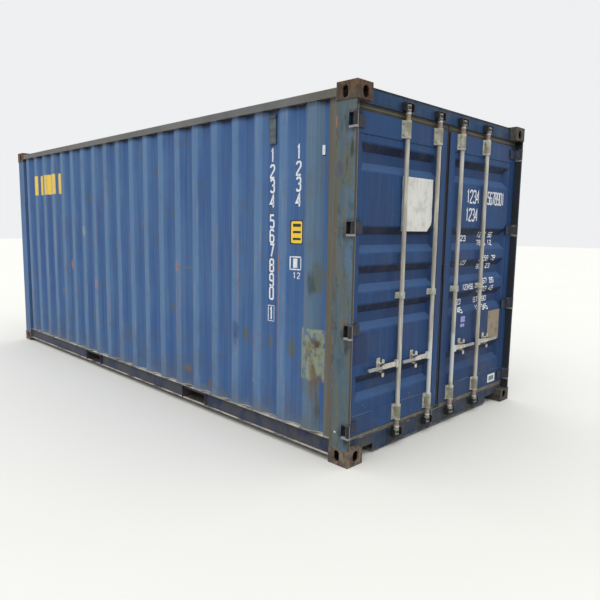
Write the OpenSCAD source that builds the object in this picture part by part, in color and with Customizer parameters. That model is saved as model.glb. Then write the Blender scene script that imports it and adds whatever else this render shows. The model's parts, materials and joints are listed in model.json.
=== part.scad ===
// Steel dry freight container with two end doors and four lock bars.
// Millimetres. X is across, Y is along with the doors at the low end,
// Z is up from the underside of the bottom corner castings.

/* [Overall] */
// Length over the corner castings
length = 6058; // [5800:1:6400]
// Width over the corner castings
width = 2438; // [2300:1:2600]
// Height over the corner castings
height = 2591; // [2560:1:2900]

/* [Corner castings] */
// Length of a casting along the container
casting_l = 178; // [170:0.5:190]
// Width of a casting across the container
casting_w = 162; // [155:0.5:175]
// Height of a casting
casting_h = 118; // [114:0.5:124]
// Thickness of the plate with the long slot
casting_plate = 28; // [24:0.5:32]
// Thickness of the outer side and end walls
casting_outer_wall = 15; // [10:0.5:18]
// Thickness of the inner walls
casting_inner_wall = 12; // [8:0.5:16]
// Long slot for a twistlock, end to end
slot_l = 124.5; // [110:0.5:130]
// Width of the long slot
slot_w = 63.5; // [55:0.5:70]
// Distance of a slot's centre from the container's end
slot_from_end = 101.5; // [96:0.5:106]
// Distance of a slot's centre from the container's side
slot_from_side = 89; // [84:0.5:94]
// Height of the lifting holes in the side and end faces
lift_hole_h = 79; // [60:0.5:84]
// Width of the lifting hole in the side face
side_hole_w = 51; // [45:0.5:56]
// Width of the lifting hole in the end face
end_hole_w = 63.5; // [55:0.5:70]

/* [Posts] */
// How far the posts stand behind the castings' outer faces
post_inset = 5; // [2:0.5:7]
// Wall of a corner post
post_t = 6; // [4:0.5:8]
// Width of the rear face of a door post
rear_post_face = 24; // [22:0.5:27]
// Width of the ledge that a door closes against
door_ledge = 20; // [15:0.5:25]
// Width of a front post's two faces inside the walls
front_post_lip = 42; // [40:0.5:60]

/* [Rails] */
// How far the walls and rails stand behind the castings' side faces
wall_inset = 7; // [5.5:0.5:10]
// Height of the underside of the bottom rails
base_gap = 15; // [12.5:0.5:18]
// Height of the bottom rails
bottom_rail_h = 152; // [140:1:170]
// Width of a bottom side rail's flanges
bottom_rail_w = 48; // [44:1:60]
// Thickness of the bottom rails
bottom_rail_t = 4.5; // [3:0.5:6]
// Size of the square top rails
top_rail = 60; // [50:1:70]
// Wall of the top rails
top_rail_t = 3; // [2:0.5:5]
// How far the roof stays below the castings' top faces
roof_gap = 6; // [6:0.5:12]

/* [Side walls] */
// Thickness of the wall and roof sheets
sheet = 2; // [1.5:0.1:3]
// Pitch of the side wall's corrugations
side_pitch = 280.6; // [270:0.1:290]
// Flat of a side corrugation
side_flat = 72; // [60:1:80]
// Run of a side corrugation's slope
side_slope = 68; // [60:1:75]
// Depth of a side corrugation
side_depth = 36; // [25:0.5:38]
// Flat strip of the side wall beside the door post
end_strip = 26; // [15:1:40]
// Run of the first slope beside the door post
end_slope = 30; // [20:1:40]
// Distance of the first outer flat's centre from the door post
first_rib = 231; // [225:1:245]

/* [Front wall] */
// Pitch of the front wall's corrugations
front_pitch = 250; // [240:1:260]
// Outer flat of a front corrugation
front_flat = 110; // [90:1:120]
// Run of a front corrugation's slope
front_slope = 18; // [12:1:24]
// Depth of a front corrugation
front_depth = 45; // [35:0.5:47]

/* [Roof] */
// Pitch of the roof's pressings
roof_pitch = 209; // [200:1:220]
// Width of a roof pressing at its mouth
roof_press_w = 118; // [90:1:130]
// Depth of a roof pressing
roof_depth = 20; // [12:0.5:24]
// Run of a roof pressing's slope along the roof
roof_slope = 24; // [16:1:30]
// Run of a roof pressing's slope at its ends
roof_end_slope = 60; // [40:1:80]
// Distance of the pressings' ends from the castings' side faces
roof_edge = 90; // [80:1:120]
// Distance of the roof's ends behind the header's face
roof_end_in = 10; // [4:0.5:20]
// Gap between the roof and the castings
roof_clear = 1; // [0.5:0.5:3]

/* [Floor] */
// Thickness of the floor boards
floor_t = 28; // [21:1:34]
// Number of floor boards on each side of the middle
board_count = 5; // [3:1:6]
// Gap between floor boards
board_gap = 2; // [1:0.5:4]
// Width of the steel strip along the middle of the floor
centre_strip = 60; // [40:1:80]
// Thickness of the strip along the middle of the floor
centre_strip_t = 4; // [3:0.5:6]
// Pitch that the cross members keep under
cross_pitch = 305; // [260:1:340]
// Width of a cross member's flanges
cross_w = 45; // [35:1:60]
// Thickness of a cross member
cross_t = 4; // [3:0.5:6]

/* [Fork pockets] */
// Width of a fork pocket
pocket_w = 360; // [330:1:380]
// Distance between the pockets' centres
pocket_spacing = 2050; // [1950:1:2150]
// Shift of the pair of pockets towards the front
pocket_shift = -145; // [-200:1:200]
// Thickness of a pocket's walls
pocket_t = 5; // [4:0.5:6]
// Length of the strap under each end of a pocket
pocket_strap = 150; // [100:1:200]

/* [End frame] */
// How far a closed door lies behind the castings' end faces
door_recess = 60; // [60:0.5:66]
// How far the sill and header lie behind the door's outer face
frame_set = 3; // [2:0.5:6]
// Depth of the sill and header along the container
frame_depth = 96; // [80:1:110]
// Thickness of the sill and header
frame_t = 5; // [4:0.5:6]
// Width of the cut-outs at the ends of the sill
sill_cut_w = 150; // [100:1:200]
// Height of the cut-outs at the ends of the sill
sill_cut_h = 80; // [60:1:90]

/* [Doors] */
// Distance of a hinge pin's axis from the castings' side and end faces
hinge_in = 14; // [13:0.5:16]
// Gap between a door and its post
door_side_gap = 5; // [4:0.5:8]
// Gap between the two doors
centre_gap = 20; // [18:0.5:26]
// Gap between the sill and the doors
door_low_gap = 33; // [25:1:45]
// Gap between the header and the doors
door_top_gap = 38; // [25:1:45]
// Thickness of a door's frame
door_t = 50; // [48:1:52]
// Width of a door's stiles
stile_w = 80; // [60:1:100]
// Height of a door's top and bottom rails
door_rail_h = 145; // [120:1:160]
// Wall of a door's frame tubes
door_tube_t = 3.2; // [2.5:0.1:4]
// How far the pressed sheet lies behind the door frame's face
panel_set = 5; // [2:0.5:8]
// Depth of the pressed bands
band_depth = 36; // [20:1:38]
// Height of a pressed band at its mouth
band_h = 200; // [160:1:206]
// Height that each slope of a band takes
band_slope = 64; // [50:1:70]
// Run of a band's slope at its ends
band_end_slope = 60; // [40:1:80]
// Flat sheet between a band's end and the stile
band_margin = 20; // [10:1:30]
// Distances of the upper bands' centres below the door's top edge
bands_from_top = [308, 865, 1137, 1409];
// Distance of the lowest band's centre above the door's lower edge
band_from_low = 319; // [300:1:340]
// Run of the seal's lip past the leaf's edge at the middle
seal_lip = 4; // [2:0.5:5]
// Running gap between a seal and the frame
seal_gap = 2; // [1:0.5:3]
// Depth of a seal
seal_depth = 35; // [25:1:40]

/* [Hinges] */
// Number of hinges on a door
hinge_count = 4; // [3:1:5]
// Height of the lowest hinge's centre
hinge_low = 256; // [240:1:300]
// Distance of the highest hinge's centre below the castings' tops
hinge_high = 254; // [240:1:300]
// Radius of a hinge pin
pin_r = 8; // [6:0.5:9]
// Radius of a hinge's knuckle and lugs
knuckle_r = 14; // [12:0.5:14]
// Height of a hinge blade
blade_h = 80; // [60:1:100]
// Thickness of a hinge blade
blade_t = 10; // [8:0.5:12]
// Reach of a hinge blade over the door from the pin's axis
blade_l = 140; // [110:1:160]
// Thickness of a hinge lug
lug_t = 15; // [10:0.5:20]
// Running gap between a blade and its lugs
blade_gap = 1; // [0.5:0.5:2]
// Running gap round a pin
pin_gap = 0.15; // [0.1:0.05:0.5]

/* [Lock bars] */
// Distance of the outer bars from the middle
bar_outer = 598; // [560:1:640]
// Distance of the inner bars from the middle
bar_inner = 175; // [150:1:200]
// Radius of a lock bar
bar_r = 17; // [14:0.5:17]
// Distance of a bar's axis from the door's face
bar_off = 22; // [22:0.5:24]
// Running gap of a bar in its bearings
bar_gap = 0.5; // [0.3:0.1:1]
// Height of a bar's lower end
bar_low = 62; // [60:1:80]
// Distance of a bar's upper end below the castings' tops
bar_high = 53; // [50:1:60]
// Height of a cam
cam_h = 48; // [40:1:56]
// Radius of a cam's body
cam_r = 20; // [18:0.5:20]
// Reach of a cam's tooth
cam_reach = 34; // [28:0.5:36]
// Clearance between a cam and its keeper
cam_gap = 6; // [5:0.5:10]
// Thickness of a keeper's plates
keeper_t = 8; // [6:0.5:10]
// Depth of a keeper's plates
keeper_depth = 46; // [36:1:50]
// Radius of a bearing round a bar
bearing_r = 25; // [22:0.5:28]
// Width of a bearing's foot
bearing_w = 94; // [80:1:110]
// Thickness of a bearing's foot
bearing_foot = 8; // [5:0.5:10]
// Height of the upper bearings
bearing_top_h = 126; // [90:1:130]
// Distance of the upper bearings' tops below the door's top edge
bearing_top_z = 17; // [10:1:25]
// Height of the middle guides
guide_h = 47; // [36:1:56]
// Height of the middle guides' centres
guide_z = 1160; // [1100:1:1200]
// Height of the lower bearings
bearing_low_h = 120; // [80:1:140]
// Distance of the lower bearings' undersides above the door's lower edge
bearing_low_z = 6; // [4:1:20]

/* [Handles] */
// Height of the handles
handle_z = 645; // [600:1:700]
// Length of a handle from its bar's axis
handle_l = 370; // [300:1:380]
// Height of a handle's flat bar at the hub
handle_h = 32; // [26:1:40]
// Thickness of a handle
handle_t = 12; // [8:0.5:14]
// Reach of a handle hub from its bar's axis
hub_l = 46; // [40:1:52]
// Height of a handle hub
hub_h = 56; // [44:1:70]
// Thickness of each of a hub's two cheeks
hub_t = 6; // [4:0.5:8]
// Gap between a handle and each cheek of its hub
hub_gap = 0.5; // [0.3:0.1:1]
// Radius of a handle's rivet
rivet_r = 6; // [4:0.5:7]
// Distance of the catches from the bars on the left door
catch_left = 225; // [180:1:260]
// Distance of the catches from the bars on the right door
catch_right = 150; // [130:1:260]
// Height of a catch
catch_h = 134; // [110:1:150]
// Width of a catch
catch_w = 40; // [30:1:50]
// Gap between a catch's lugs and the handle
catch_gap = 7; // [5:0.5:12]

/* [Fittings] */
// Width of a side wall ventilator
vent_w = 68; // [50:1:70]
// Height of a side wall ventilator
vent_h = 208; // [180:1:260]
// Depth of a side wall ventilator
vent_d = 20; // [12:1:30]
// Hollow of the side wall, counted from the doors, that holds the ventilator
vent_hollow = 2; // [1:1:6]
// Distance of the ventilator's top below the top rail
vent_down = 55; // [40:1:150]
// Number of slots in a ventilator
vent_slots = 8; // [4:1:10]
// Width of the plate on the right door
plate_w = 220; // [160:1:240]
// Height of the plate on the right door
plate_h = 280; // [200:1:284]
// Height of the plate's centre
plate_z = 766; // [760:1:780]
// Distance of the plate from the stile beside the hinges
plate_in = 55; // [40:1:90]
// Thickness of the plates
plate_t = 3; // [2:0.5:4]
// Height of the plate over the gap between the doors
tab_h = 118; // [90:1:140]
// Width of the plate over the gap between the doors
tab_w = 57; // [45:1:70]
// Height of the centre of the plate over the gap between the doors
tab_z = 1306; // [1280:1:1330]

/* [Hidden] */
$fn = 48;
half_l = length / 2;
half_w = width / 2;
wall_x = half_w - wall_inset;
rail_top_z = base_gap + bottom_rail_h;
roof_top_z = height - roof_gap;
top_rail_z = roof_top_z - sheet - top_rail;
side_y = half_l - casting_l;
end_x = half_w - casting_w;
casting_top_z = height - casting_h;
sill_face_y = half_l - door_recess - frame_set;
opening_x = half_w - post_inset - rear_post_face - door_ledge;
hinge_x = half_w - hinge_in;
hinge_y = half_l - hinge_in;
door_v = door_recess - hinge_in;
post_u = post_inset + rear_post_face - hinge_in;
leaf_u0 = post_u + door_side_gap;
leaf_u1 = hinge_x - centre_gap / 2;
leaf_low = rail_top_z + door_low_gap;
leaf_top = casting_top_z - door_top_gap;
bar_v = door_v - bar_off;
bar_top = height - bar_high;
hinge_notch_h = blade_h + 2 * blade_gap + 2 * lug_t;
hinge_notch_d = door_recess - post_inset + 8;
hinge_top = height - hinge_high;
hinge_step = (hinge_top - hinge_low) / (hinge_count - 1);
hinge_zs = [for (i = [0:hinge_count - 1]) hinge_low + i * hinge_step];
floor_low = rail_top_z - floor_t;
cross_low = base_gap + bottom_rail_t;
pocket_top = floor_low - pocket_t;
pocket_ys = [for (s = [-1, 1]) pocket_shift + s * pocket_spacing / 2];

// Placing

module both_sides() {
    children();
    mirror([1, 0, 0]) children();
}

module both_ends() {
    children();
    mirror([0, 1, 0]) children();
}

// Moves a shape drawn from the left hinge axis to its place: X runs over the
// door towards the middle and Y runs into the container.
module at_left_hinge() {
    translate([-hinge_x, -hinge_y, 0]) children();
}

module at_right_hinge() {
    mirror([1, 0, 0]) at_left_hinge() children();
}

// Shared shapes

module slot_2d(l, w) {
    square([l - w, w], center = true);
    translate([-(l - w) / 2, 0]) circle(d = w);
    translate([(l - w) / 2, 0]) circle(d = w);
}

// Channel with its web along Y and its flanges towards +X, drawn in X and Z
module channel_2d(w, h, t) {
    difference() {
        square([w, h]);
        translate([t, t]) square([w, h - 2 * t]);
    }
}

// Extrudes a shape drawn in X and Z along +Y
module along_y(l) {
    translate([0, l, 0]) rotate([90, 0, 0]) linear_extrude(l) children();
}

// Extrudes a shape drawn in Y and Z along +X
module along_x(l) {
    rotate([90, 0, 90]) linear_extrude(l) children();
}

// Solid of a pressing that is sunk towards +Y, with its mouth on the plane
// Y = 0. It is centred on Z, and all four of its sides slope.
module pressing(l, h, depth, end_run, side_run) {
    intersection() {
        along_x(l) polygon([
            [0, -h / 2], [depth, -h / 2 + side_run], [depth, h / 2 - side_run], [0, h / 2]
        ]);
        translate([0, 0, -h / 2]) linear_extrude(h) polygon([
            [0, 0], [end_run, depth], [l - end_run, depth], [l, 0]
        ]);
    }
}

// Corner castings

// One casting with its outer corner at the origin and its slot in the low face
module casting() {
    cavity = [
        casting_w - casting_outer_wall - casting_inner_wall,
        casting_l - casting_outer_wall - casting_inner_wall,
        casting_h - casting_plate - casting_inner_wall
    ];
    hole_z = casting_plate + (casting_h - casting_plate - casting_inner_wall) / 2;
    difference() {
        cube([casting_w, casting_l, casting_h]);
        translate([casting_outer_wall, casting_outer_wall, casting_plate]) cube(cavity);
        translate([slot_from_side, slot_from_end, -1])
            linear_extrude(casting_plate + 2) rotate(90) slot_2d(slot_l, slot_w);
        translate([-1, slot_from_end, hole_z])
            along_x(casting_outer_wall + 2) rotate(90) slot_2d(lift_hole_h, side_hole_w);
        translate([slot_from_side, -1, hole_z])
            along_y(casting_outer_wall + 2) rotate(90) slot_2d(lift_hole_h, end_hole_w);
    }
}

module bottom_corner_castings() {
    color("saddlebrown")
        both_sides() both_ends() translate([-half_w, -half_l, 0]) casting();
}

module top_castings() {
    color("saddlebrown")
        translate([0, 0, height]) mirror([0, 0, 1])
            both_sides() translate([-half_w, -half_l, 0]) casting();
}

module rear_top_castings() {
    top_castings();
}

module front_top_castings() {
    mirror([0, 1, 0]) top_castings();
}

// Posts

function rear_post_outline(g) = let (
    x0 = -half_w + post_inset + g,
    x1 = -half_w + post_inset + rear_post_face - g,
    x2 = -opening_x - g,
    y0 = -half_l + post_inset + g,
    y1 = -half_l + door_recess + door_t + door_side_gap + g,
    y2 = -side_y - g
) [[x0, y0], [x1, y0], [x1, y1], [x2, y1], [x2, y2], [x0, y2]];

module rear_post() {
    difference() {
        translate([0, 0, casting_h]) linear_extrude(casting_top_z - casting_h) difference() {
            polygon(rear_post_outline(0));
            polygon(rear_post_outline(post_t));
        }
        for (z = hinge_zs)
            translate([-half_w, -half_l, z - hinge_notch_h / 2])
                cube([post_inset + rear_post_face + 1, post_inset + hinge_notch_d, hinge_notch_h]);
    }
}

module rear_corner_posts() {
    color("slategray") both_sides() rear_post();
}

// Plan of a front post, with every face moved inwards by g
function front_post_outline(g) = let (
    x0 = -half_w + post_inset + g,
    x1 = -end_x - g,
    y0 = side_y + g,
    y1 = half_l - post_inset - g,
    corner = g / 2
) [
    [x0, y0], [x0 + front_post_lip - g - corner, y0],
    [x1, y1 - front_post_lip + g + corner], [x1, y1], [x0, y1]
];

module front_corner_posts() {
    color("steelblue") both_sides()
        translate([0, 0, casting_h]) linear_extrude(casting_top_z - casting_h) difference() {
            polygon(front_post_outline(0));
            polygon(front_post_outline(post_t));
        }
}

// Rails, sills and headers

module bottom_side_rail() {
    difference() {
        translate([-wall_x, -side_y, base_gap])
            along_y(2 * side_y) channel_2d(bottom_rail_w, bottom_rail_h, bottom_rail_t);
        for (y = pocket_ys)
            translate([-wall_x - 1, y - pocket_w / 2, cross_low])
                cube([bottom_rail_t + 2, pocket_w, pocket_top - cross_low]);
    }
}

module bottom_side_rails() {
    color("darkslateblue") both_sides() bottom_side_rail();
}

module top_side_rails() {
    color("lightslategray") both_sides()
        translate([-half_w + post_inset, -side_y, top_rail_z]) along_y(2 * side_y) difference() {
            square(top_rail);
            translate([top_rail_t, top_rail_t]) square(top_rail - 2 * top_rail_t);
        }
}

module front_sill() {
    front_y = half_l - wall_inset;
    color("steelblue") difference() {
        translate([-end_x, front_y, base_gap]) along_x(2 * end_x)
            mirror([1, 0]) channel_2d(top_rail, bottom_rail_h, bottom_rail_t);
        for (s = [0, 1])
            mirror([s, 0, 0]) translate([-end_x - 1, front_y - top_rail - 1, base_gap - 1])
                cube([sill_cut_w + 1, top_rail + 2, sill_cut_h + 1]);
    }
}

module front_header() {
    color("steelblue")
        translate([-end_x, half_l - wall_inset - top_rail, top_rail_z]) along_x(2 * end_x) difference() {
            square(top_rail);
            translate([top_rail_t, top_rail_t]) square(top_rail - 2 * top_rail_t);
        }
}

module door_sill() {
    y0 = -half_l + door_recess + frame_set;
    color("dimgray") difference() {
        union() {
            translate([-end_x, y0, base_gap]) along_x(2 * end_x)
                channel_2d(frame_depth, bottom_rail_h, frame_t);
            translate([-opening_x, y0, casting_h]) along_x(2 * opening_x) difference() {
                square([frame_depth, rail_top_z - casting_h]);
                translate([frame_t, -1]) square([frame_depth, rail_top_z - casting_h - frame_t + 1]);
            }
        }
        for (s = [0, 1])
            mirror([s, 0, 0]) translate([-end_x - 1, y0 - 1, base_gap - 1])
                cube([sill_cut_w + 1, frame_depth + 2, sill_cut_h + 1]);
    }
}

module door_header() {
    y0 = -half_l + door_recess + frame_set;
    h = roof_top_z - sheet - casting_top_z;
    color("dimgray") translate([-end_x, y0, casting_top_z]) along_x(2 * end_x) difference() {
        square([frame_depth, h]);
        translate([frame_t, frame_t]) square([frame_depth - 2 * frame_t, h - 2 * frame_t]);
    }
}

// Walls and roof

// Outer line of the side wall's plan, as places along Y and depths inwards
rib_first_y = -side_y + first_rib;
rib_count = floor((side_y - rib_first_y - side_flat / 2 - side_slope) / side_pitch) + 1;
side_line = concat(
    [[-side_y, 0], [-side_y + end_strip, 0], [-side_y + end_strip + end_slope, side_depth]],
    [for (k = [0:rib_count - 1]) let (y = rib_first_y + k * side_pitch) each [
        [y - side_flat / 2 - side_slope, side_depth], [y - side_flat / 2, 0],
        [y + side_flat / 2, 0], [y + side_flat / 2 + side_slope, side_depth]
    ]],
    [[side_y, side_depth]]
);

// Outer line of the front wall's plan, as places along X and depths inwards
front_count = floor((2 * end_x - front_flat - 2 * front_slope) / front_pitch) + 1;
front_first_x = -(front_count - 1) * front_pitch / 2;
front_line = concat(
    [[-end_x, front_depth]],
    [for (k = [0:front_count - 1]) let (x = front_first_x + k * front_pitch) each [
        [x - front_flat / 2 - front_slope, front_depth], [x - front_flat / 2, 0],
        [x + front_flat / 2, 0], [x + front_flat / 2 + front_slope, front_depth]
    ]],
    [[end_x, front_depth]]
);

// Sheet that follows a line and is as thick as the wall sheet
module sheet_2d(line) {
    n = len(line);
    polygon(concat(line, [for (i = [n - 1:-1:0]) [line[i][0], line[i][1] + sheet]]));
}

module side_wall() {
    translate([-wall_x, 0, rail_top_z]) mirror([1, 0, 0]) rotate(90)
        linear_extrude(top_rail_z - rail_top_z) sheet_2d(side_line);
}

module left_side_wall() {
    color("steelblue") side_wall();
}

module right_side_wall() {
    color("steelblue") mirror([1, 0, 0]) side_wall();
}

module front_wall() {
    color("steelblue") translate([0, half_l - wall_inset, rail_top_z]) mirror([0, 1, 0])
        linear_extrude(top_rail_z - rail_top_z) sheet_2d(front_line);
}

roof_count = floor((2 * side_y - roof_press_w) / roof_pitch) + 1;

module roof_pressings() {
    l = 2 * (half_w - roof_edge);
    for (i = [0:roof_count - 1])
        translate([-l / 2, (i - (roof_count - 1) / 2) * roof_pitch, roof_top_z])
            rotate([-90, 0, 0]) pressing(l, roof_press_w, roof_depth, roof_end_slope, roof_slope);
}

module roof_panel() {
    edge_x = half_w - post_inset - top_rail / 2;
    color("steelblue") difference() {
        union() {
            translate([-edge_x, -side_y, roof_top_z - sheet]) cube([2 * edge_x, 2 * side_y, sheet]);
            translate([0, 0, -sheet]) roof_pressings();
        }
        roof_pressings();
    }
}

// The flat plates that close the roof between the castings
module roof_end_plates() {
    end_y = half_l - door_recess - frame_set - roof_end_in;
    color("steelblue") both_ends()
        translate([-end_x + roof_clear, -end_y, roof_top_z - sheet])
            cube([2 * (end_x - roof_clear), end_y - side_y, sheet]);
}

// Floor

cross_span = 2 * (half_l - door_recess - frame_set - frame_depth) - 2 * cross_w;
cross_n = ceil(cross_span / cross_pitch);

function near_pocket(y) = len([
    for (p = pocket_ys) if (abs(y - p) < pocket_w / 2 + pocket_t + cross_w + 20) p
]) > 0;

module cross_member() {
    x = wall_x - bottom_rail_t;
    translate([-x, -cross_w / 2, cross_low]) along_x(2 * x)
        channel_2d(cross_w, floor_low - cross_low, cross_t);
}

module cross_members() {
    color("dimgray") for (i = [0:cross_n]) {
        y = -cross_span / 2 + i * cross_span / cross_n;
        if (!near_pocket(y)) translate([0, y, 0]) cross_member();
    }
}

module fork_pocket() {
    x = wall_x - bottom_rail_t;
    y0 = -pocket_w / 2 - pocket_t;
    strap_x = wall_x - bottom_rail_w;
    difference() {
        translate([-x, y0, cross_low]) cube([2 * x, pocket_w + 2 * pocket_t, floor_low - cross_low]);
        translate([-x - 1, -pocket_w / 2, cross_low - 1])
            cube([2 * x + 2, pocket_w, pocket_top - cross_low + 1]);
    }
    for (s = [0, 1]) mirror([s, 0, 0])
        translate([-strap_x, y0, base_gap]) cube([pocket_strap, pocket_w + 2 * pocket_t, bottom_rail_t]);
}

module fork_pockets() {
    color("dimgray") for (y = pocket_ys) translate([0, y, 0]) fork_pocket();
}

floor_x = wall_x - bottom_rail_w - board_gap;
floor_y0 = -half_l + door_recess + frame_set + frame_depth + board_gap;
floor_y1 = half_l - wall_inset - top_rail - board_gap;

module floor_boards() {
    board_l = (floor_y1 - floor_y0 - (board_count - 1) * board_gap) / board_count;
    board_w = floor_x - centre_strip / 2 - board_gap;
    color("peru") both_sides() difference() {
        for (i = [0:board_count - 1])
            translate([-floor_x, floor_y0 + i * (board_l + board_gap), floor_low])
                cube([board_w, board_l, floor_t]);
        translate([0, 0, floor_low - 1])
            linear_extrude(floor_t + 2) polygon(front_post_outline(-board_gap));
    }
}

module floor_centre_strip() {
    t = centre_strip_t;
    color("dimgray") translate([-centre_strip / 2, floor_y0, floor_low])
        along_y(floor_y1 - floor_y0) difference() {
            square([centre_strip, floor_t]);
            translate([t, -1]) square([centre_strip - 2 * t, floor_t - t + 1]);
        }
}

// Hinges

module hinge_lug() {
    x0 = -half_w + post_inset + hinge_x;
    y0 = -half_l + post_inset + hinge_y;
    difference() {
        union() {
            cylinder(r = knuckle_r, h = lug_t);
            translate([x0, y0, 0]) cube([rear_post_face, hinge_notch_d, lug_t]);
        }
        translate([0, 0, -1]) cylinder(r = pin_r + pin_gap, h = lug_t + 2);
    }
}

module hinge_lugs() {
    color("gray") both_sides() at_left_hinge() for (z = hinge_zs) {
        translate([0, 0, z - hinge_notch_h / 2]) hinge_lug();
        translate([0, 0, z + hinge_notch_h / 2 - lug_t]) hinge_lug();
    }
}

module hinge_pins() {
    color("silver") both_sides() at_left_hinge() for (z = hinge_zs)
        translate([0, 0, z - hinge_notch_h / 2 + 1]) cylinder(r = pin_r, h = hinge_notch_h - 2);
}

module hinge_blade() {
    k = knuckle_r;
    difference() {
        linear_extrude(blade_h) union() {
            circle(r = k);
            polygon([
                [k * 0.85, -k * 0.5], [leaf_u0 + k, door_v - blade_t], [blade_l, door_v - blade_t],
                [blade_l, door_v], [leaf_u0 + 2, door_v], [-k * 0.85, k * 0.5]
            ]);
        }
        translate([0, 0, -1]) cylinder(r = pin_r + 2 * pin_gap, h = blade_h + 2);
    }
}

module hinge_blades() {
    color("silver") for (z = hinge_zs) translate([0, 0, z - blade_h / 2]) hinge_blade();
}

module left_hinge_blades() {
    at_left_hinge() hinge_blades();
}

module right_hinge_blades() {
    at_right_hinge() hinge_blades();
}

// Cam keepers

module cam_keeper(h, cap_low) {
    x = cam_reach + cam_gap;
    cap_z = cap_low ? 0 : h - keeper_t;
    for (s = [-1, 1])
        translate([s * (x + keeper_t / 2) - keeper_t / 2, -keeper_depth, 0])
            cube([keeper_t, keeper_depth, h]);
    translate([-x - keeper_t, -keeper_depth, cap_z]) cube([2 * (x + keeper_t), keeper_depth, keeper_t]);
}

keeper_h = cam_h + cam_gap + keeper_t + 8;

module keepers(z, cap_low) {
    both_sides() for (x = [bar_outer, bar_inner])
        translate([-x, -sill_face_y, z]) cam_keeper(keeper_h, cap_low);
}

module top_cam_keepers() {
    color("black") keepers(bar_top + cam_gap + keeper_t - keeper_h, false);
}

module bottom_cam_keepers() {
    color("black") keepers(bar_low - cam_gap - keeper_t, true);
}

// Ventilators

module side_ventilator() {
    y = rib_first_y + (vent_hollow - 0.5) * side_pitch;
    rim = 10;
    step = (vent_h - 2 * rim) / vent_slots;
    translate([-wall_x + side_depth - vent_d, y - vent_w / 2, top_rail_z - vent_down - vent_h])
        difference() {
            cube([vent_d, vent_w, vent_h]);
            for (i = [0:vent_slots - 1]) translate([-1, rim, rim + (i + 0.25) * step])
                cube([6, vent_w - 2 * rim, step / 2]);
        }
}

module side_ventilators() {
    color("steelblue") both_sides() side_ventilator();
}

// Doors

leaf_w = leaf_u1 - leaf_u0;
leaf_h = leaf_top - leaf_low;

module door_frame() {
    t = door_tube_t;
    color("steelblue") translate([leaf_u0, door_v, leaf_low]) {
        for (u = [0, leaf_w - stile_w]) translate([u, 0, 0]) linear_extrude(leaf_h) difference() {
            square([stile_w, door_t]);
            translate([t, t]) square([stile_w - 2 * t, door_t - 2 * t]);
        }
        for (z = [0, leaf_h - door_rail_h])
            translate([stile_w, 0, z]) along_x(leaf_w - 2 * stile_w)
                channel_2d(door_t, door_rail_h, t);
    }
}

module left_door_frame() {
    at_left_hinge() door_frame();
}

module right_door_frame() {
    at_right_hinge() door_frame();
}

band_zs = concat(
    [for (d = bands_from_top) leaf_top - d],
    [leaf_low + band_from_low]
);

module bands() {
    u0 = leaf_u0 + stile_w + band_margin;
    l = leaf_w - 2 * stile_w - 2 * band_margin;
    for (z = band_zs)
        translate([u0, door_v + panel_set, z])
            pressing(l, band_h, band_depth, band_end_slope, band_slope);
}

module door_panel() {
    color("steelblue") difference() {
        union() {
            translate([leaf_u0 + stile_w, door_v + panel_set, leaf_low + door_rail_h])
                cube([leaf_w - 2 * stile_w, sheet, leaf_h - 2 * door_rail_h]);
            translate([0, sheet, 0]) bands();
        }
        bands();
    }
}

module left_door_panel() {
    at_left_hinge() door_panel();
}

module right_door_panel() {
    at_right_hinge() door_panel();
}

module door_seal() {
    low = rail_top_z + seal_gap;
    top = casting_top_z - seal_gap;
    out = door_side_gap - 1;
    color("darkslategray") translate([leaf_u0 - out, door_v + door_t - seal_depth - 5, low]) difference() {
        cube([leaf_w + out + seal_lip, seal_depth, top - low]);
        translate([out, -1, leaf_low - low]) cube([leaf_w, seal_depth + 2, leaf_h]);
    }
}

module left_door_seal() {
    at_left_hinge() door_seal();
}

module right_door_seal() {
    at_right_hinge() door_seal();
}

// Bearings, bars and handles

// Bearing round a bar whose axis is at the origin, with its foot on a face
// that lies the given distance behind the axis
module bearing(h, seat) {
    difference() {
        union() {
            cylinder(r = bearing_r, h = h);
            translate([-bearing_r, 0, 0]) cube([2 * bearing_r, seat, h]);
            translate([-bearing_w / 2, seat - bearing_foot, 0]) cube([bearing_w, bearing_foot, h]);
        }
        translate([0, 0, -1]) cylinder(r = bar_r + bar_gap, h = h + 2);
        translate([-bearing_w, seat, -1]) cube([2 * bearing_w, bearing_r, h + 2]);
    }
}

bar_us = [hinge_x - bar_outer, hinge_x - bar_inner];

module bar_bearings() {
    color("gray") for (u = bar_us) translate([u, bar_v, 0]) {
        translate([0, 0, leaf_top - bearing_top_z - bearing_top_h]) bearing(bearing_top_h, bar_off);
        translate([0, 0, guide_z - guide_h / 2]) bearing(guide_h, bar_off + panel_set);
        translate([0, 0, leaf_low + bearing_low_z]) bearing(bearing_low_h, bar_off);
    }
}

module left_bar_bearings() {
    at_left_hinge() bar_bearings();
}

module right_bar_bearings() {
    at_right_hinge() bar_bearings();
}

module cam() {
    linear_extrude(cam_h) union() {
        circle(r = cam_r);
        polygon([
            [0, -cam_r * 0.8], [-cam_reach * 0.85, -cam_r * 0.8], [-cam_reach * 0.96, -cam_r * 0.3],
            [-cam_reach * 0.96, cam_r * 0.2], [-cam_reach * 0.4, cam_r * 0.8], [0, cam_r * 0.8]
        ]);
    }
}

rivet_x = (bar_r + hub_l) / 2;

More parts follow.
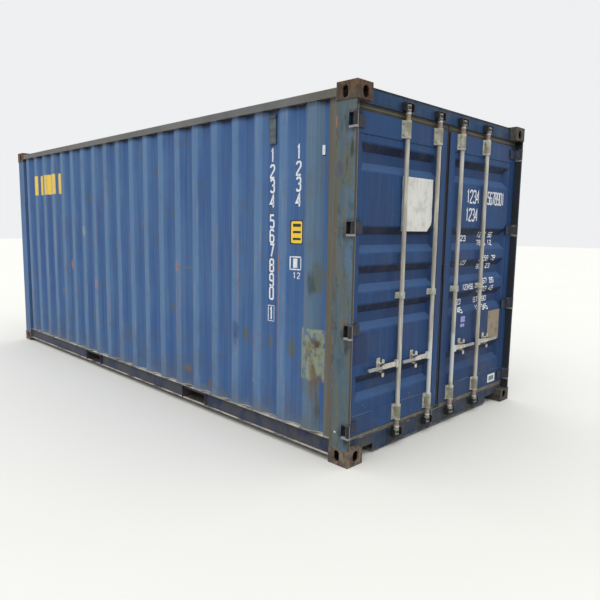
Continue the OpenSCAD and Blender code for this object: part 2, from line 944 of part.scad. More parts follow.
module lock_bar(u) {
    color("lightgray") translate([u, bar_v, 0]) {
        translate([0, 0, bar_low]) cylinder(r = bar_r, h = bar_top - bar_low);
        translate([0, 0, bar_low]) cam();
        translate([0, 0, bar_top - cam_h]) cam();
        for (v = [-handle_t / 2 - hub_gap - hub_t, handle_t / 2 + hub_gap])
            translate([-hub_l, v, handle_z - hub_h / 2]) cube([hub_l, hub_t, hub_h]);
        translate([-rivet_x, 0, handle_z]) rotate([90, 0, 0])
            cylinder(r = rivet_r, h = handle_t + 2 * hub_gap + hub_t, center = true);
    }
}

module bar_handle(u) {
    x0 = -bar_r - 2;
    h = handle_h / 2;
    color("lightgray") translate([u, bar_v, handle_z]) difference() {
        translate([0, handle_t / 2, 0]) rotate([90, 0, 0]) linear_extrude(handle_t) polygon([
            [x0, -h], [x0, h], [-hub_l - 10, h], [-hub_l - 40, h * 0.7], [-handle_l + 60, h * 0.7],
            [-handle_l + 20, h * 0.95], [-handle_l, h * 0.6], [-handle_l, -h * 0.2],
            [-handle_l + 30, -h * 0.6], [-hub_l - 40, -h * 0.6], [-hub_l - 10, -h]
        ]);
        translate([-rivet_x, 0, 0]) rotate([90, 0, 0])
            cylinder(r = rivet_r + pin_gap, h = 2 * handle_t, center = true);
    }
}

// Catch that holds a handle, open to the front, with a lug above and below
module handle_catch() {
    z0 = -catch_h / 2;
    gap = handle_h / 2 + catch_gap;
    reach = panel_set + bar_off + handle_t / 2 + 10;
    translate([-catch_w / 2, -plate_t, z0]) cube([catch_w, plate_t, catch_h]);
    for (s = [0, 1]) mirror([0, 0, s])
        translate([-catch_w / 2, -reach, gap]) cube([catch_w * 0.6, reach, 12]);
}

module handle_catches(dist) {
    color("gray") for (u = bar_us)
        translate([u - dist, door_v + panel_set, handle_z]) handle_catch();
}

module left_handle_catches() {
    at_left_hinge() handle_catches(catch_left);
}

module right_handle_catches() {
    at_right_hinge() handle_catches(catch_right);
}

module lock_bar_1() {
    at_left_hinge() lock_bar(bar_us[0]);
}

module lock_bar_2() {
    at_left_hinge() lock_bar(bar_us[1]);
}

module lock_bar_3() {
    at_right_hinge() lock_bar(bar_us[1]);
}

module lock_bar_4() {
    at_right_hinge() lock_bar(bar_us[0]);
}

module bar_handle_1() {
    at_left_hinge() bar_handle(bar_us[0]);
}

module bar_handle_2() {
    at_left_hinge() bar_handle(bar_us[1]);
}

module bar_handle_3() {
    at_right_hinge() bar_handle(bar_us[1]);
}

module bar_handle_4() {
    at_right_hinge() bar_handle(bar_us[0]);
}

// Plates

module right_door_plate() {
    color("tan") at_right_hinge()
        translate([leaf_u0 + stile_w + plate_in, door_v + panel_set - plate_t, plate_z - plate_h / 2])
            cube([plate_w, plate_t, plate_h]);
}

module door_overlap_plate() {
    color("steelblue") at_right_hinge()
        translate([leaf_u1 + 7 - tab_w, door_v - 5, tab_z - tab_h / 2]) cube([tab_w, 5, tab_h]);
}

bottom_corner_castings();
rear_top_castings();
front_top_castings();
front_corner_posts();
rear_corner_posts();
bottom_side_rails();
top_side_rails();
front_sill();
front_header();
door_sill();
door_header();
left_side_wall();
right_side_wall();
front_wall();
roof_panel();
roof_end_plates();
cross_members();
fork_pockets();
floor_boards();
floor_centre_strip();
hinge_lugs();
hinge_pins();
top_cam_keepers();
bottom_cam_keepers();
side_ventilators();
left_door_frame();
left_door_panel();
left_door_seal();
left_hinge_blades();
left_bar_bearings();
left_handle_catches();
right_door_frame();
right_door_panel();
right_door_seal();
right_hinge_blades();
right_bar_bearings();
right_handle_catches();
right_door_plate();
door_overlap_plate();
lock_bar_1();
lock_bar_2();
lock_bar_3();
lock_bar_4();
bar_handle_1();
bar_handle_2();
bar_handle_3();
bar_handle_4();
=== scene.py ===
"""Looks of a weathered steel freight container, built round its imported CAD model.

Places are in metres in the row frame: X is across, Y is along with the doors at the low end, and Z is up.
"""

import json
import math
import random
from dataclasses import dataclass, replace
from functools import reduce

import bmesh
import bpy
from mathutils import Matrix, Vector
from mathutils.bvhtree import BVHTree

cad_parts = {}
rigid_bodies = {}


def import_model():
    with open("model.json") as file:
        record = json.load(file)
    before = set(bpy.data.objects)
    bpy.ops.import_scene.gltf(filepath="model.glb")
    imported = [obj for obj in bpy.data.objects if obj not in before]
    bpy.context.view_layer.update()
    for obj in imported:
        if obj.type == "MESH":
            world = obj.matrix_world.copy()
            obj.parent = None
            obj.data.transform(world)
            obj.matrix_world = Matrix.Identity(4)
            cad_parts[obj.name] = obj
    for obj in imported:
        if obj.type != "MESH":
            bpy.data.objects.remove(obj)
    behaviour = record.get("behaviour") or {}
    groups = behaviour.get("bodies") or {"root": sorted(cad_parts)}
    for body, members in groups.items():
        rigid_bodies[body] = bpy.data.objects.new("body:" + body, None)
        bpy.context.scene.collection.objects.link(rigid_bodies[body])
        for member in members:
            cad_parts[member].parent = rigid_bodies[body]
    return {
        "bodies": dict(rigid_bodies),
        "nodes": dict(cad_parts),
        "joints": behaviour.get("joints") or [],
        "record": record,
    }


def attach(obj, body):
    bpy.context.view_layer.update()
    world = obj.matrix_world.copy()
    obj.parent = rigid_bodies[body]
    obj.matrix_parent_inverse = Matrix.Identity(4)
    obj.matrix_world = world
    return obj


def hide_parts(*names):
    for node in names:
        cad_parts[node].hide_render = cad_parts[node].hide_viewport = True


# Places that repeat the CAD part's sizes
WALL_X = 1.212
WALL_DEPTH = 0.036
RIB_FIRST_Y = -2.620
RIB_PITCH = 0.2806
RIB_HALF = 0.036
SIDE_Y = 2.851
RAIL_TOP = 0.167
TOP_RAIL = 2.505
POST_X = 1.214
POST_Y = -3.024
CASTING_H = 0.118
CASTING_TOP = 2.473
HEIGHT = 2.591
DOOR_Y = -2.969
PANEL_Y = -2.964
BAR_Y = -2.991
BAR_XS = (-0.598, -0.175, 0.175, 0.598)
HINGE_ZS = (0.256, 0.9533, 1.6507, 2.348)
STRIP_Y = -2.791


def rgb(r, g, b):
    """A display colour of 0 to 255 as the linear colour that a shader takes."""

    def linear(c):
        c /= 255
        return c / 12.92 if c <= 0.04045 else ((c + 0.055) / 1.055) ** 2.4

    return (linear(r), linear(g), linear(b), 1.0)


RUST_ORANGE = (158, 96, 62)
RUST_BROWN = (92, 62, 46)
DUST = (176, 170, 156)
DIRT = (92, 88, 76)
OLIVE = (112, 112, 76)


# Materials


class Nodes:
    """Adds and links the nodes of a material or a world, and keeps the colour mixed so far."""

    def __init__(self, name, world=None):
        self.owner = world or bpy.data.materials.new(name)
        self.owner.use_nodes = True
        self.tree = self.owner.node_tree
        self.tree.nodes.clear()
        self.place = self.add("ShaderNodeTexCoord").outputs["Generated" if world else "Object"]
        self.x, self.y, self.z = self.add("ShaderNodeSeparateXYZ", {0: self.place}).outputs
        self.colour = None

    def add(self, kind, inputs=None, **settings):
        node = self.tree.nodes.new(kind)
        for key, value in settings.items():
            setattr(node, key, value)
        for key, value in (inputs or {}).items():
            if isinstance(value, bpy.types.NodeSocket):
                self.tree.links.new(value, node.inputs[key])
            else:
                node.inputs[key].default_value = value
        return node

    def math(self, operation, *values):
        """One operation over two or more values, from the first to the last."""

        def step(a, b):
            return self.add("ShaderNodeMath", {0: a, 1: b}, operation=operation).outputs[0]

        return reduce(step, values)

    def times(self, *factors):
        return self.math("MULTIPLY", *factors)

    def plus(self, *terms):
        return self.math("ADD", *terms)

    def minus(self, a, b):
        return self.math("SUBTRACT", a, b)

    def most(self, *values):
        return self.math("MAXIMUM", *values)

    def absolute(self, value):
        return self.math("ABSOLUTE", value, 0.0)

    def span(self, value, low, high, smooth=True):
        """0 where the value is at low and 1 where it is at high."""
        return self.add(
            "ShaderNodeMapRange",
            {"Value": value, "From Min": low, "From Max": high},
            interpolation_type="SMOOTHSTEP" if smooth else "LINEAR",
        ).outputs[0]

    def between(self, value, low, high, soft=0.003):
        """1 where the value lies between low and high."""
        rise, fall = self.span(value, low - soft, low + soft), self.span(value, high + soft, high - soft)
        return self.times(rise, fall)

    def facing(self):
        """The X, Y and Z parts of the surface's own direction."""
        direction = self.add("ShaderNodeNewGeometry").outputs["Normal"]
        return self.add("ShaderNodeSeparateXYZ", {0: direction}).outputs

    def seen(self):
        """1 for what the camera or a mirror looks at."""
        rays = self.add("ShaderNodeLightPath").outputs
        return self.most(rays["Is Camera Ray"], rays["Is Glossy Ray"])

    def edges(self, radius, sharp):
        """1 on edges, where a rounded surface turns away from the real one."""
        soft = self.add("ShaderNodeBevel", {"Radius": radius}, samples=4).outputs[0]
        hard = self.add("ShaderNodeNewGeometry").outputs["Normal"]
        turned = self.add("ShaderNodeVectorMath", {0: soft, 1: hard}, operation="DOT_PRODUCT")
        return self.span(turned.outputs["Value"], 0.985, sharp)

    def mix(self, factor, a, b):
        """A blend from a to b, which are sockets or display colours of 0 to 255."""
        a, b = (rgb(*c) if isinstance(c, tuple) else c for c in (a, b))
        return self.add("ShaderNodeMix", {0: factor, 6: a, 7: b}, data_type="RGBA").outputs[2]

    def coat(self, shade, *masks):
        """Paints a shade over the colour so far, as strongly as the masks' product."""
        self.colour = self.mix(self.times(*masks), self.colour, shade)

    def noise(self, scale, stretch=(1, 1, 1), detail=4, roughness=0.5, seed=0.0, distortion=0.0):
        shift = (seed, seed * 1.7, seed * 2.3)
        place = self.add("ShaderNodeMapping", {"Vector": self.place, "Location": shift, "Scale": stretch})
        settings = {"Scale": scale, "Detail": detail, "Roughness": roughness, "Distortion": distortion}
        return self.add("ShaderNodeTexNoise", {"Vector": place.outputs[0], **settings}).outputs["Fac"]

    def flecks(self, low, high, *place, **settings):
        """Patches of noise: 0 where the noise is at low and 1 where it is at high."""
        return self.span(self.noise(*place, **settings), low, high)

    def box(self, low_y, high_y, low_z, high_z, soft=0.01, across=None):
        """1 inside a rectangle of the Y-Z plane, or X-Z with across=x, with soft and uneven edges."""
        along = self.y if across is None else across
        wobble = self.times(self.minus(self.noise(34, seed=3.1), 0.5), soft * 2)
        a, z = self.plus(along, wobble), self.plus(self.z, wobble)
        return self.times(
            self.span(a, low_y - soft, low_y + soft),
            self.span(a, high_y + soft, high_y - soft),
            self.span(z, low_z - soft, low_z + soft),
            self.span(z, high_z + soft, high_z - soft),
        )

    def spot(self, y, z, radius, tall=1.0, seed=0.0, across=None):
        """1 in the middle of a ragged spot at y, z that is tall times as high as it is wide."""
        along = self.y if across is None else across
        dy = self.math("DIVIDE", self.minus(along, y), radius)
        dz = self.math("DIVIDE", self.minus(self.z, z), radius * tall)
        ragged = self.times(self.noise(26, (1, 1, 0.6), detail=6, seed=seed + 1), 1.8)
        return self.span(self.plus(self.times(dy, dy), self.times(dz, dz), ragged), 1.75, 0.7)

    def finish(self, roughness, height=None, strength=0.3, distance=0.002, rounding=0.0, shine=0.5):
        """Ends the material with its colour so far, and bumps and softened edges where they are given."""
        shader = self.add("ShaderNodeBsdfPrincipled", {"Base Color": self.colour, "Roughness": roughness})
        shader.inputs["Specular IOR Level"].default_value = shine
        normal = None
        if rounding:
            normal = self.add("ShaderNodeBevel", {"Radius": rounding}, samples=4).outputs[0]
        if height is not None:
            bump = self.add("ShaderNodeBump", {"Strength": strength, "Distance": distance, "Height": height})
            if normal is not None:
                self.tree.links.new(normal, bump.inputs["Normal"])
            normal = bump.outputs[0]
        if normal is not None:
            self.tree.links.new(normal, shader.inputs["Normal"])
        self.add("ShaderNodeOutputMaterial", {"Surface": shader.outputs[0]})
        return self.owner


PAINT_ROUGHNESS = (0.42, 0.72)
PAINT_ROUNDING = 0.004


@dataclass
class Look:
    """How a painted or bare steel surface has weathered. Amounts run from 0 to 1."""

    base: tuple
    faded: tuple
    streak: tuple = DIRT
    streaks: float = 0.35
    grime: float = 0.3
    rust: float = 0.15
    runs: float = 0.15
    dust: float = 0.6
    dust_colour: tuple = DUST
    wear: float = 0.5
    wear_colour: tuple = RUST_BROWN
    bump: float = 0.3
    seed: float = 0.0


def rust_colour(n, seed=0.0):
    grain = n.noise(38, detail=8, roughness=0.7, seed=seed + 7)
    return n.mix(n.span(grain, 0.4, 0.62), RUST_BROWN, RUST_ORANGE)


def weathered(name, look, marks=None):
    """Painted steel with fading, dirt streaks, rust, worn edges and dust. marks(n) paints over the coat."""
    n = Nodes(name)
    seed = look.seed
    fade = n.noise(1.7, (1, 1, 0.7), detail=6, roughness=0.6, seed=seed)
    n.colour = n.mix(n.span(fade, 0.36, 0.66), look.base, look.faded)
    if marks:
        marks(n)

    fine = n.noise(1.0, (70, 70, 1.3), detail=5, roughness=0.6, seed=seed + 2)
    broad = n.noise(1.0, (17, 17, 0.8), detail=4, seed=seed + 5)
    n.coat(look.streak, n.span(n.plus(n.times(fine, 0.55), n.times(broad, 0.5)), 0.47, 0.68), look.streaks)

    blotch = n.noise(5.5, detail=7, roughness=0.65, seed=seed + 8)
    low = n.span(n.z, 0.75, 0.1)
    grime = n.times(n.span(n.plus(blotch, n.times(low, 0.14)), 0.52, 0.7), look.grime)
    n.coat(DIRT, grime)

    pits = n.noise(9, (1, 1, 0.5), detail=10, roughness=0.68, seed=seed + 11)
    spots = n.span(pits, 0.74 - 0.22 * look.rust, 0.79 - 0.22 * look.rust)
    run_lines = n.noise(1.0, (55, 55, 0.7), detail=5, roughness=0.55, seed=seed + 14)
    run_places = n.flecks(0.46, 0.62, 1.3, (1, 1, 0.8), detail=3, seed=seed + 17)
    runs = n.times(n.span(run_lines, 0.70 - 0.2 * look.runs, 0.84 - 0.2 * look.runs), run_places)
    if look.wear:
        ragged = n.times(n.flecks(0.36, 0.62, 24, detail=6, roughness=0.7, seed=seed + 19), look.wear)
        n.coat(look.wear_colour, n.edges(0.007, 0.9), ragged)
    rust = n.most(spots, n.times(runs, 0.75))
    n.coat(rust_colour(n, seed), rust)

    up = n.facing()[2]
    settled = n.times(n.span(up, 0.55, 0.95), n.flecks(0.3, 0.6, 7, detail=5, seed=seed + 23), look.dust)
    n.coat(look.dust_colour, settled)

    low_rough, high_rough = PAINT_ROUGHNESS
    matt = n.most(rust, grime, settled)
    roughness = n.plus(n.times(n.most(matt, n.span(fade, 0.3, 0.7)), high_rough - low_rough), low_rough)
    dents = n.noise(3.2, (1, 1, 0.8), detail=2, seed=seed + 29)
    fine_bumps = n.times(n.noise(160, detail=3, seed=2.2), 0.25)
    height = n.plus(fine_bumps, n.times(pits, rust, 1.4), n.times(dents, 2.5))
    return n.finish(roughness, height, strength=look.bump, rounding=PAINT_ROUNDING, shine=0.22)


BLUE = Look(base=(63, 97, 144), faded=(82, 115, 156), streak=(102, 128, 152), rust=0.2, runs=0.25)
DOOR_BLUE = Look(
    base=(32, 60, 104), faded=(44, 76, 120), streak=(46, 72, 104), grime=0.12, rust=0.1, runs=0.1
)
TOP_RAIL_PAINT = Look(
    base=(96, 98, 100), faded=(114, 114, 112), streak=(136, 128, 116), streaks=0.15, grime=0.35, rust=0.3,
    wear=0.9, wear_colour=(142, 120, 104), seed=12.0,
)
BOTTOM_RAIL_PAINT = Look(
    base=(40, 54, 82), faded=(54, 70, 100), streak=(74, 80, 96), grime=0.45, rust=0.3, dust=1.0,
    dust_colour=(186, 180, 168), wear=0.9, seed=15.0,
)
UNDERFRAME_PAINT = Look(base=(32, 32, 34), faded=(46, 44, 42), grime=0.45, rust=0.4, dust=0.1, seed=18.0)
# Half the height that the two lugs of a hinge take up
LUG_HALF = 0.058


def rib_marks(n):
    """Outer flats are paler and scuffed, hollows are darker, partly painted shade and partly paint that has
    faded less, and outer bends are worn to primer.
    """
    depth = n.absolute(n.x)
    outer = n.span(depth, WALL_X - WALL_DEPTH, WALL_X, smooth=False)
    # Hollows darker: partly painted shade under the outer flats, partly paint that has faded less
    n.coat((52, 85, 137), n.minus(1.0, outer), 0.6)
    n.coat((96, 130, 166), n.span(outer, 0.8, 1.0), 0.5)
    scuffs = n.flecks(0.5, 0.68, 1.0, (24, 24, 2.2), detail=7, roughness=0.65, seed=31)
    n.coat((120, 138, 156), scuffs, n.span(outer, 0.7, 1.0), 0.5)
    low, high = RIB_FIRST_Y - RIB_PITCH / 2, RIB_FIRST_Y + RIB_PITCH / 2
    turn = n.add("ShaderNodeMath", {0: n.y, 1: low, 2: high}, operation="WRAP").outputs[0]
    off = n.absolute(n.minus(turn, RIB_FIRST_Y))
    bend = n.span(n.absolute(n.minus(off, RIB_HALF)), 0.011, 0.002)
    worn = n.flecks(0.48, 0.62, 1.0, (9, 9, 1.6), detail=8, roughness=0.7, seed=37)
    lower = n.span(n.z, 2.35, 1.1)
    n.coat((146, 118, 110), bend, worn, lower, 0.75)
    first = n.between(n.y, RIB_FIRST_Y - 0.10, RIB_FIRST_Y + 0.042)
    n.coat((88, 107, 116), first, 0.65)
    foot = n.span(n.plus(n.z, n.times(n.noise(11, detail=5, seed=41), 0.3)), 0.42, 0.24)
    n.coat((122, 128, 122), foot, 0.6)
    wall_edges(n)


def wall_edges(n):
    """The worn strip beside the door post with a painted shadow line at its step, the shade under the top
    rail and the pale foot.
    """
    worn = n.noise(1.0, (26, 26, 3.0), detail=8, roughness=0.65, seed=43)
    strip_paint = n.mix(n.span(worn, 0.42, 0.6), (92, 94, 82), (104, 88, 66))
    n.coat(strip_paint, n.span(n.y, STRIP_Y + 0.004, STRIP_Y - 0.002))
    # Painted shadow: a dark line where the strip steps down into the first hollow
    line = n.between(n.y, STRIP_Y - 0.001, STRIP_Y + 0.007, 0.002)
    n.coat((48, 46, 46), line, 0.8)
    shade = n.span(n.z, TOP_RAIL - 0.050, TOP_RAIL - 0.006)
    n.coat((22, 28, 46), shade, 0.85)
    ledge = n.span(n.z, RAIL_TOP + 0.014, RAIL_TOP + 0.006)
    n.coat((192, 186, 174), ledge, 0.9)


# Scuffs and rust on the left wall: y, z, radius, height over width, kind
LEFT_SPOTS = (
    (0.918, 1.945, 0.050, 1.4, "olive"),
    (-0.530, 2.160, 0.050, 1.9, "olive"),
    (-0.833, 1.761, 0.052, 1.0, "olive"),
    (-0.563, 1.715, 0.058, 1.0, "olive"),
    (-0.284, 1.652, 0.050, 1.8, "rust"),
    (-0.007, 1.519, 0.045, 1.9, "rust"),
    (0.290, 1.417, 0.050, 2.2, "olive"),
    (1.029, 1.568, 0.060, 1.6, "pale"),
    (-0.900, 1.262, 0.058, 1.3, "orange"),
    (0.757, 0.988, 0.050, 1.5, "orange"),
    (0.630, 0.991, 0.040, 1.0, "olive"),
    (1.732, 0.805, 0.055, 1.0, "rust"),
    (0.882, 0.583, 0.062, 1.2, "olive"),
    (-0.790, 0.863, 0.050, 1.3, "olive"),
    (-1.782, 0.787, 0.055, 2.6, "navy"),
    (-1.890, 0.770, 0.044, 2.4, "olive"),
    (-2.012, 0.740, 0.030, 2.2, "rust"),
    (-2.172, 0.772, 0.055, 1.5, "olive"),
    (-2.431, 0.754, 0.062, 1.7, "olive"),
    (-2.690, 1.300, 0.060, 2.8, "olive"),
    (-1.040, 0.330, 0.070, 0.7, "rust"),
    (-2.010, 0.430, 0.028, 0.7, "pale"),
    (2.200, 0.640, 0.050, 1.3, "rust"),
    (1.450, 1.150, 0.040, 2.2, "orange"),
)
SPOT_COLOURS = {
    "olive": (88, 94, 74),
    "rust": (128, 98, 66),
    "orange": (178, 112, 84),
    "pale": (146, 152, 146),
    "navy": (58, 76, 116),
}


def left_wall_marks(n):
    """The left wall's own stains, on its outside: scuffs, a repainted square and five yellow bars."""
    rib_marks(n)
    plain = n.colour
    for i, (y, z, radius, tall, kind) in enumerate(LEFT_SPOTS):
        n.coat(SPOT_COLOURS[kind], n.spot(y, z, radius, tall, seed=i * 0.37), 0.85)
    for y, z, radius, tall in ((-2.640, 1.250, 0.052, 2.6), (-2.700, 0.330, 0.030, 4.0)):
        n.coat((58, 68, 62), n.spot(y, z, radius, tall, seed=z), 0.85)
    red = n.times(n.box(-2.306, -2.286, 0.60, 1.45, 0.006), n.flecks(0.4, 0.55, 1.0, (9, 9, 3), detail=6))
    n.coat((166, 104, 92), red, 0.8)
    n.coat(OLIVE, n.box(-1.110, -0.900, 1.262, 1.276, 0.006), 0.7)
    for i in range(5):
        middle = 1.702 + i * 0.1875
        bar = n.box(middle - 0.073, middle + 0.073, 2.012, 2.258, 0.004)
        grain = n.flecks(0.74, 0.66, 30, detail=6, seed=i + 2.0)
        n.coat((246, 208, 82), bar, grain)
    outside = n.span(n.facing()[0], 0.1, -0.1)
    repaired_square(n)
    n.colour = n.mix(outside, plain, n.colour)


def repaired_square(n):
    """A repainted square near the doors, the rust that eats it and runs from it, and a stain by a pocket."""
    patch = n.box(-2.760, -2.535, 0.548, 0.925, 0.006)
    worn = n.flecks(0.62, 0.5, 14, detail=7, seed=5.5)
    n.coat((142, 150, 126), patch, worn, 0.9)
    branch = n.noise(13, (1, 1, 0.45), detail=9, roughness=0.7, seed=9.0, distortion=0.6)
    field = n.most(n.spot(-2.660, 0.775, 0.120, 1.2, 4.0), n.spot(-2.685, 0.620, 0.075, 2.6, 6.0))
    rust = n.times(field, n.span(branch, 0.42, 0.54))
    n.coat((104, 80, 42), rust, 0.95)
    knob = n.spot(-2.688, 0.826, 0.036, 1.2, 8.0)
    n.coat((74, 54, 38), knob)
    for y, z, tall, shade in ((-2.700, 0.400, 7.0, (92, 72, 46)), (-2.662, 0.470, 5.0, (112, 86, 54))):
        n.coat(shade, n.spot(y, z, 0.020, tall, 10.0 + y), 0.85)
    n.coat((116, 92, 68), n.spot(-1.385, 0.245, 0.060, 1.1, 12.0), 0.8)


def door_marks(n):
    """Washed streaks, scratches, painted shade in the bands' recesses and on their down-facing slopes,
    painted light on their up-facing slopes, painted shade along the doors' edges, the right door darker
    towards the bottom, and a darker square low on the left door.
    """
    wash = n.flecks(0.46, 0.62, 1.0, (26, 26, 1.0), detail=5, seed=51)
    n.coat((42, 82, 130), wash, 0.4)
    scratch = n.noise(2.2, (2.4, 2.4, 1.0), detail=3, seed=57, distortion=1.2)
    line = n.span(n.absolute(n.minus(scratch, 0.5)), 0.0022, 0.0006)
    low_down = n.span(n.z, 0.75, 0.45)
    n.coat((140, 148, 160), line, low_down, 0.5)
    down = n.facing()[2]
    # Painted shade in the bands' recesses, darkest on their down-facing slopes, and painted light on their
    # up-facing slopes
    recess = n.between(n.y, PANEL_Y + 0.006, PANEL_Y + 0.060)
    n.coat((28, 46, 84), recess, 0.35)
    n.coat((6, 18, 44), n.span(down, -0.2, -0.45), recess, 0.95)
    n.coat((64, 98, 142), n.span(down, 0.2, 0.45), recess, 0.6)
    # The right door darker towards the bottom
    n.coat((26, 40, 76), n.span(n.x, -0.05, 0.05), n.span(n.z, 1.5, 0.7), 0.4)
    # Painted shade along the doors' meeting edges, in the gap between them
    depth = n.absolute(n.x)
    n.coat((14, 22, 28), n.span(depth, 0.029, 0.025), 0.8)
    for z in HINGE_ZS[1:]:
        n.coat((16, 24, 48), n.spot(1.135, z + 0.025, 0.085, 1.0, z, across=depth), 0.7)
    # Painted shade on the leaves' sideways faces, in the gaps beside the posts
    sideways = n.span(n.absolute(n.facing()[0]), 0.7, 0.9)
    n.coat((12, 13, 16), sideways, n.span(depth, 1.14, 1.15), 0.92)
    square = n.box(-1.120, -0.945, 0.700, 0.918, 0.006, across=n.x)
    n.coat((30, 40, 78), square, 0.6)


def header_marks(n):
    """A dark line along the top of the door header, painted shadow under the roof's edge, and the header
    darker along its lower edge.
    """
    teal = n.flecks(0.42, 0.60, 1.0, (9, 9, 5), detail=7, roughness=0.65, seed=91)
    n.coat((38, 76, 102), teal, 0.7)
    # Painted shadow: a near-black line under the roof's edge at the header's top
    lip = n.span(n.z, 2.565, 2.569)
    n.coat((16, 17, 20), lip, 0.95)
    # Darker along the header's lower edge
    n.coat((40, 46, 62), n.span(n.z, 2.500, 2.476), 0.5)


def sill_marks(n):
    """Dark patches behind the lower keepers, a pale lower edge and stains along the sill."""
    n.coat((88, 76, 66), n.spot(-0.950, 0.085, 0.085, 0.7, 2.0, across=n.x), 0.7)
    for x in BAR_XS:
        patch = n.box(x - 0.095, x + 0.095, 0.0, 0.2, 0.006, across=n.x)
        n.coat((16, 22, 38), patch, 0.85)
    strip = n.box(-0.070, -0.058, 0.02, 0.150, 0.002, across=n.x)
    n.coat((140, 144, 148), strip, 0.7)
    smear = n.spot(-0.410, 0.142, 0.040, 0.35, 5.0, across=n.x)
    n.coat((126, 118, 66), smear, 0.8)
    worn = n.flecks(0.42, 0.56, 1.0, (14, 14, 14), detail=7, roughness=0.7, seed=61)
    n.coat((134, 136, 136), n.span(n.z, 0.030, 0.020), worn, 0.8)


def bottom_rail_marks(n):
    """Shade in the rail's hollow, blackest under its top flange, and a worn lower flange."""
    depth = n.absolute(n.x)
    web = n.span(depth, 1.206, 1.202)
    n.coat((40, 48, 72), web, 0.55)
    under = n.times(n.span(n.z, RAIL_TOP - 0.034, RAIL_TOP - 0.012), web)
    n.coat((16, 17, 22), under, 0.9)
    edge = n.times(n.span(n.z, 0.054, 0.048), n.span(depth, 1.208, 1.213))
    worn = n.flecks(0.40, 0.56, 1.0, (12, 12, 12), detail=7, roughness=0.7, seed=63)
    n.coat((126, 124, 120), edge, worn, 0.85)
    lip = n.times(n.span(n.z, RAIL_TOP - 0.007, RAIL_TOP - 0.004), n.span(depth, 1.208, 1.213))
    n.coat((112, 112, 108), lip, 0.6)


def top_rail_marks(n):
    """Brown and green stains near the door post, and orange scabs along the rail."""
    near = n.span(n.y, -2.35, -2.75)
    n.coat((94, 90, 78), near, 0.7)
    green = n.span(n.y, -2.800, -2.835)
    n.coat((92, 106, 84), green, 0.7)
    scabs = n.noise(1.0, (14, 5, 20), detail=9, roughness=0.7, seed=67)
    n.coat((150, 100, 66), n.span(scabs, 0.58, 0.66), 0.8)


def post_paint(name, seed):
    """The door posts' worn paint, in upright strips of grey, blue, olive and rust."""
    n = Nodes(name)
    strips = n.noise(1.0, (22, 22, 2.6), detail=9, roughness=0.7, seed=seed)
    patches = n.noise(3.0, (2.4, 2.4, 0.9), detail=8, roughness=0.7, seed=seed + 3)
    n.colour = n.mix(n.span(strips, 0.42, 0.58), (76, 98, 112), (96, 100, 90))
    outer = n.most(n.span(n.y, -2.925, -2.965), 0.25)
    n.coat((84, 110, 132), n.span(patches, 0.44, 0.56), outer)
    mottle = n.flecks(0.50, 0.62, 11, (1, 1, 0.4), detail=9, roughness=0.75, seed=seed + 21)
    n.coat((62, 64, 56), mottle, 0.65)
    olive = n.flecks(0.52, 0.64, 1.0, (34, 34, 1.1), detail=5, seed=seed + 5)
    n.coat((84, 92, 84), olive, 0.5)
    pink = n.flecks(0.60, 0.68, 4.2, (2.0, 2.0, 0.7), detail=9, roughness=0.72, seed=seed + 9)
    n.coat((112, 98, 110), pink, 0.6)
    chalk = n.flecks(0.62, 0.72, 1.0, (90, 90, 9), detail=6, roughness=0.7, seed=seed + 12)
    n.coat((150, 158, 158), chalk, 0.55)
    wander = n.times(n.noise(1.0, (9, 9, 2.2), detail=6, seed=seed + 2), 0.05)
    brown = n.span(n.plus(n.y, wander), -2.868, -2.838)
    tan = n.flecks(0.40, 0.56, 1.0, (12, 12, 4), detail=8, roughness=0.7, seed=seed + 23)
    n.coat((98, 86, 66), brown, tan, 0.6)
    rear = n.span(n.y, -2.985, -3.02)
    front = n.span(n.absolute(n.plus(n.y, 2.862)), 0.016, 0.004)
    corner = n.most(rear, front)
    eaten = n.noise(1.0, (30, 30, 2.0), detail=9, roughness=0.7, seed=seed + 15)
    rust = n.most(
        n.times(corner, n.span(eaten, 0.52, 0.62), 0.6),
        n.times(n.span(eaten, 0.62, 0.70), 0.8),
    )
    n.coat(rust_colour(n, seed), rust)
    for z in HINGE_ZS:
        n.coat((36, 38, 40), n.spot(-2.985, z - 0.015, 0.078, 1.25, seed=z), 0.85)
    for y, z, radius, tall, spot in (
        (-2.840, 1.105, 0.022, 1.6, (178, 104, 62)),
        (-2.855, 2.335, 0.012, 5.0, (176, 118, 76)),
        (-2.858, 2.245, 0.007, 4.0, (160, 112, 76)),
        (-2.888, 2.030, 0.050, 1.6, (84, 80, 98)),
        (-2.995, 2.170, 0.020, 4.0, (52, 52, 50)),
        (-3.005, 0.215, 0.046, 2.2, (34, 34, 33)),
        (-2.990, 0.860, 0.040, 2.4, (48, 50, 50)),
        (-2.959, 1.019, 0.024, 1.8, (132, 84, 56)),
        (-2.903, 0.233, 0.012, 0.9, (226, 226, 222)),
    ):
        n.coat(spot, n.spot(y, z, radius, tall, seed=z), 0.9)
    post_shades(n)
    height = n.plus(n.times(n.noise(150, detail=4), 0.3), n.times(eaten, rust, 1.5))
    return n.finish(n.plus(n.times(rust, 0.2), 0.62), height, 0.4, rounding=0.005, shine=0.25)


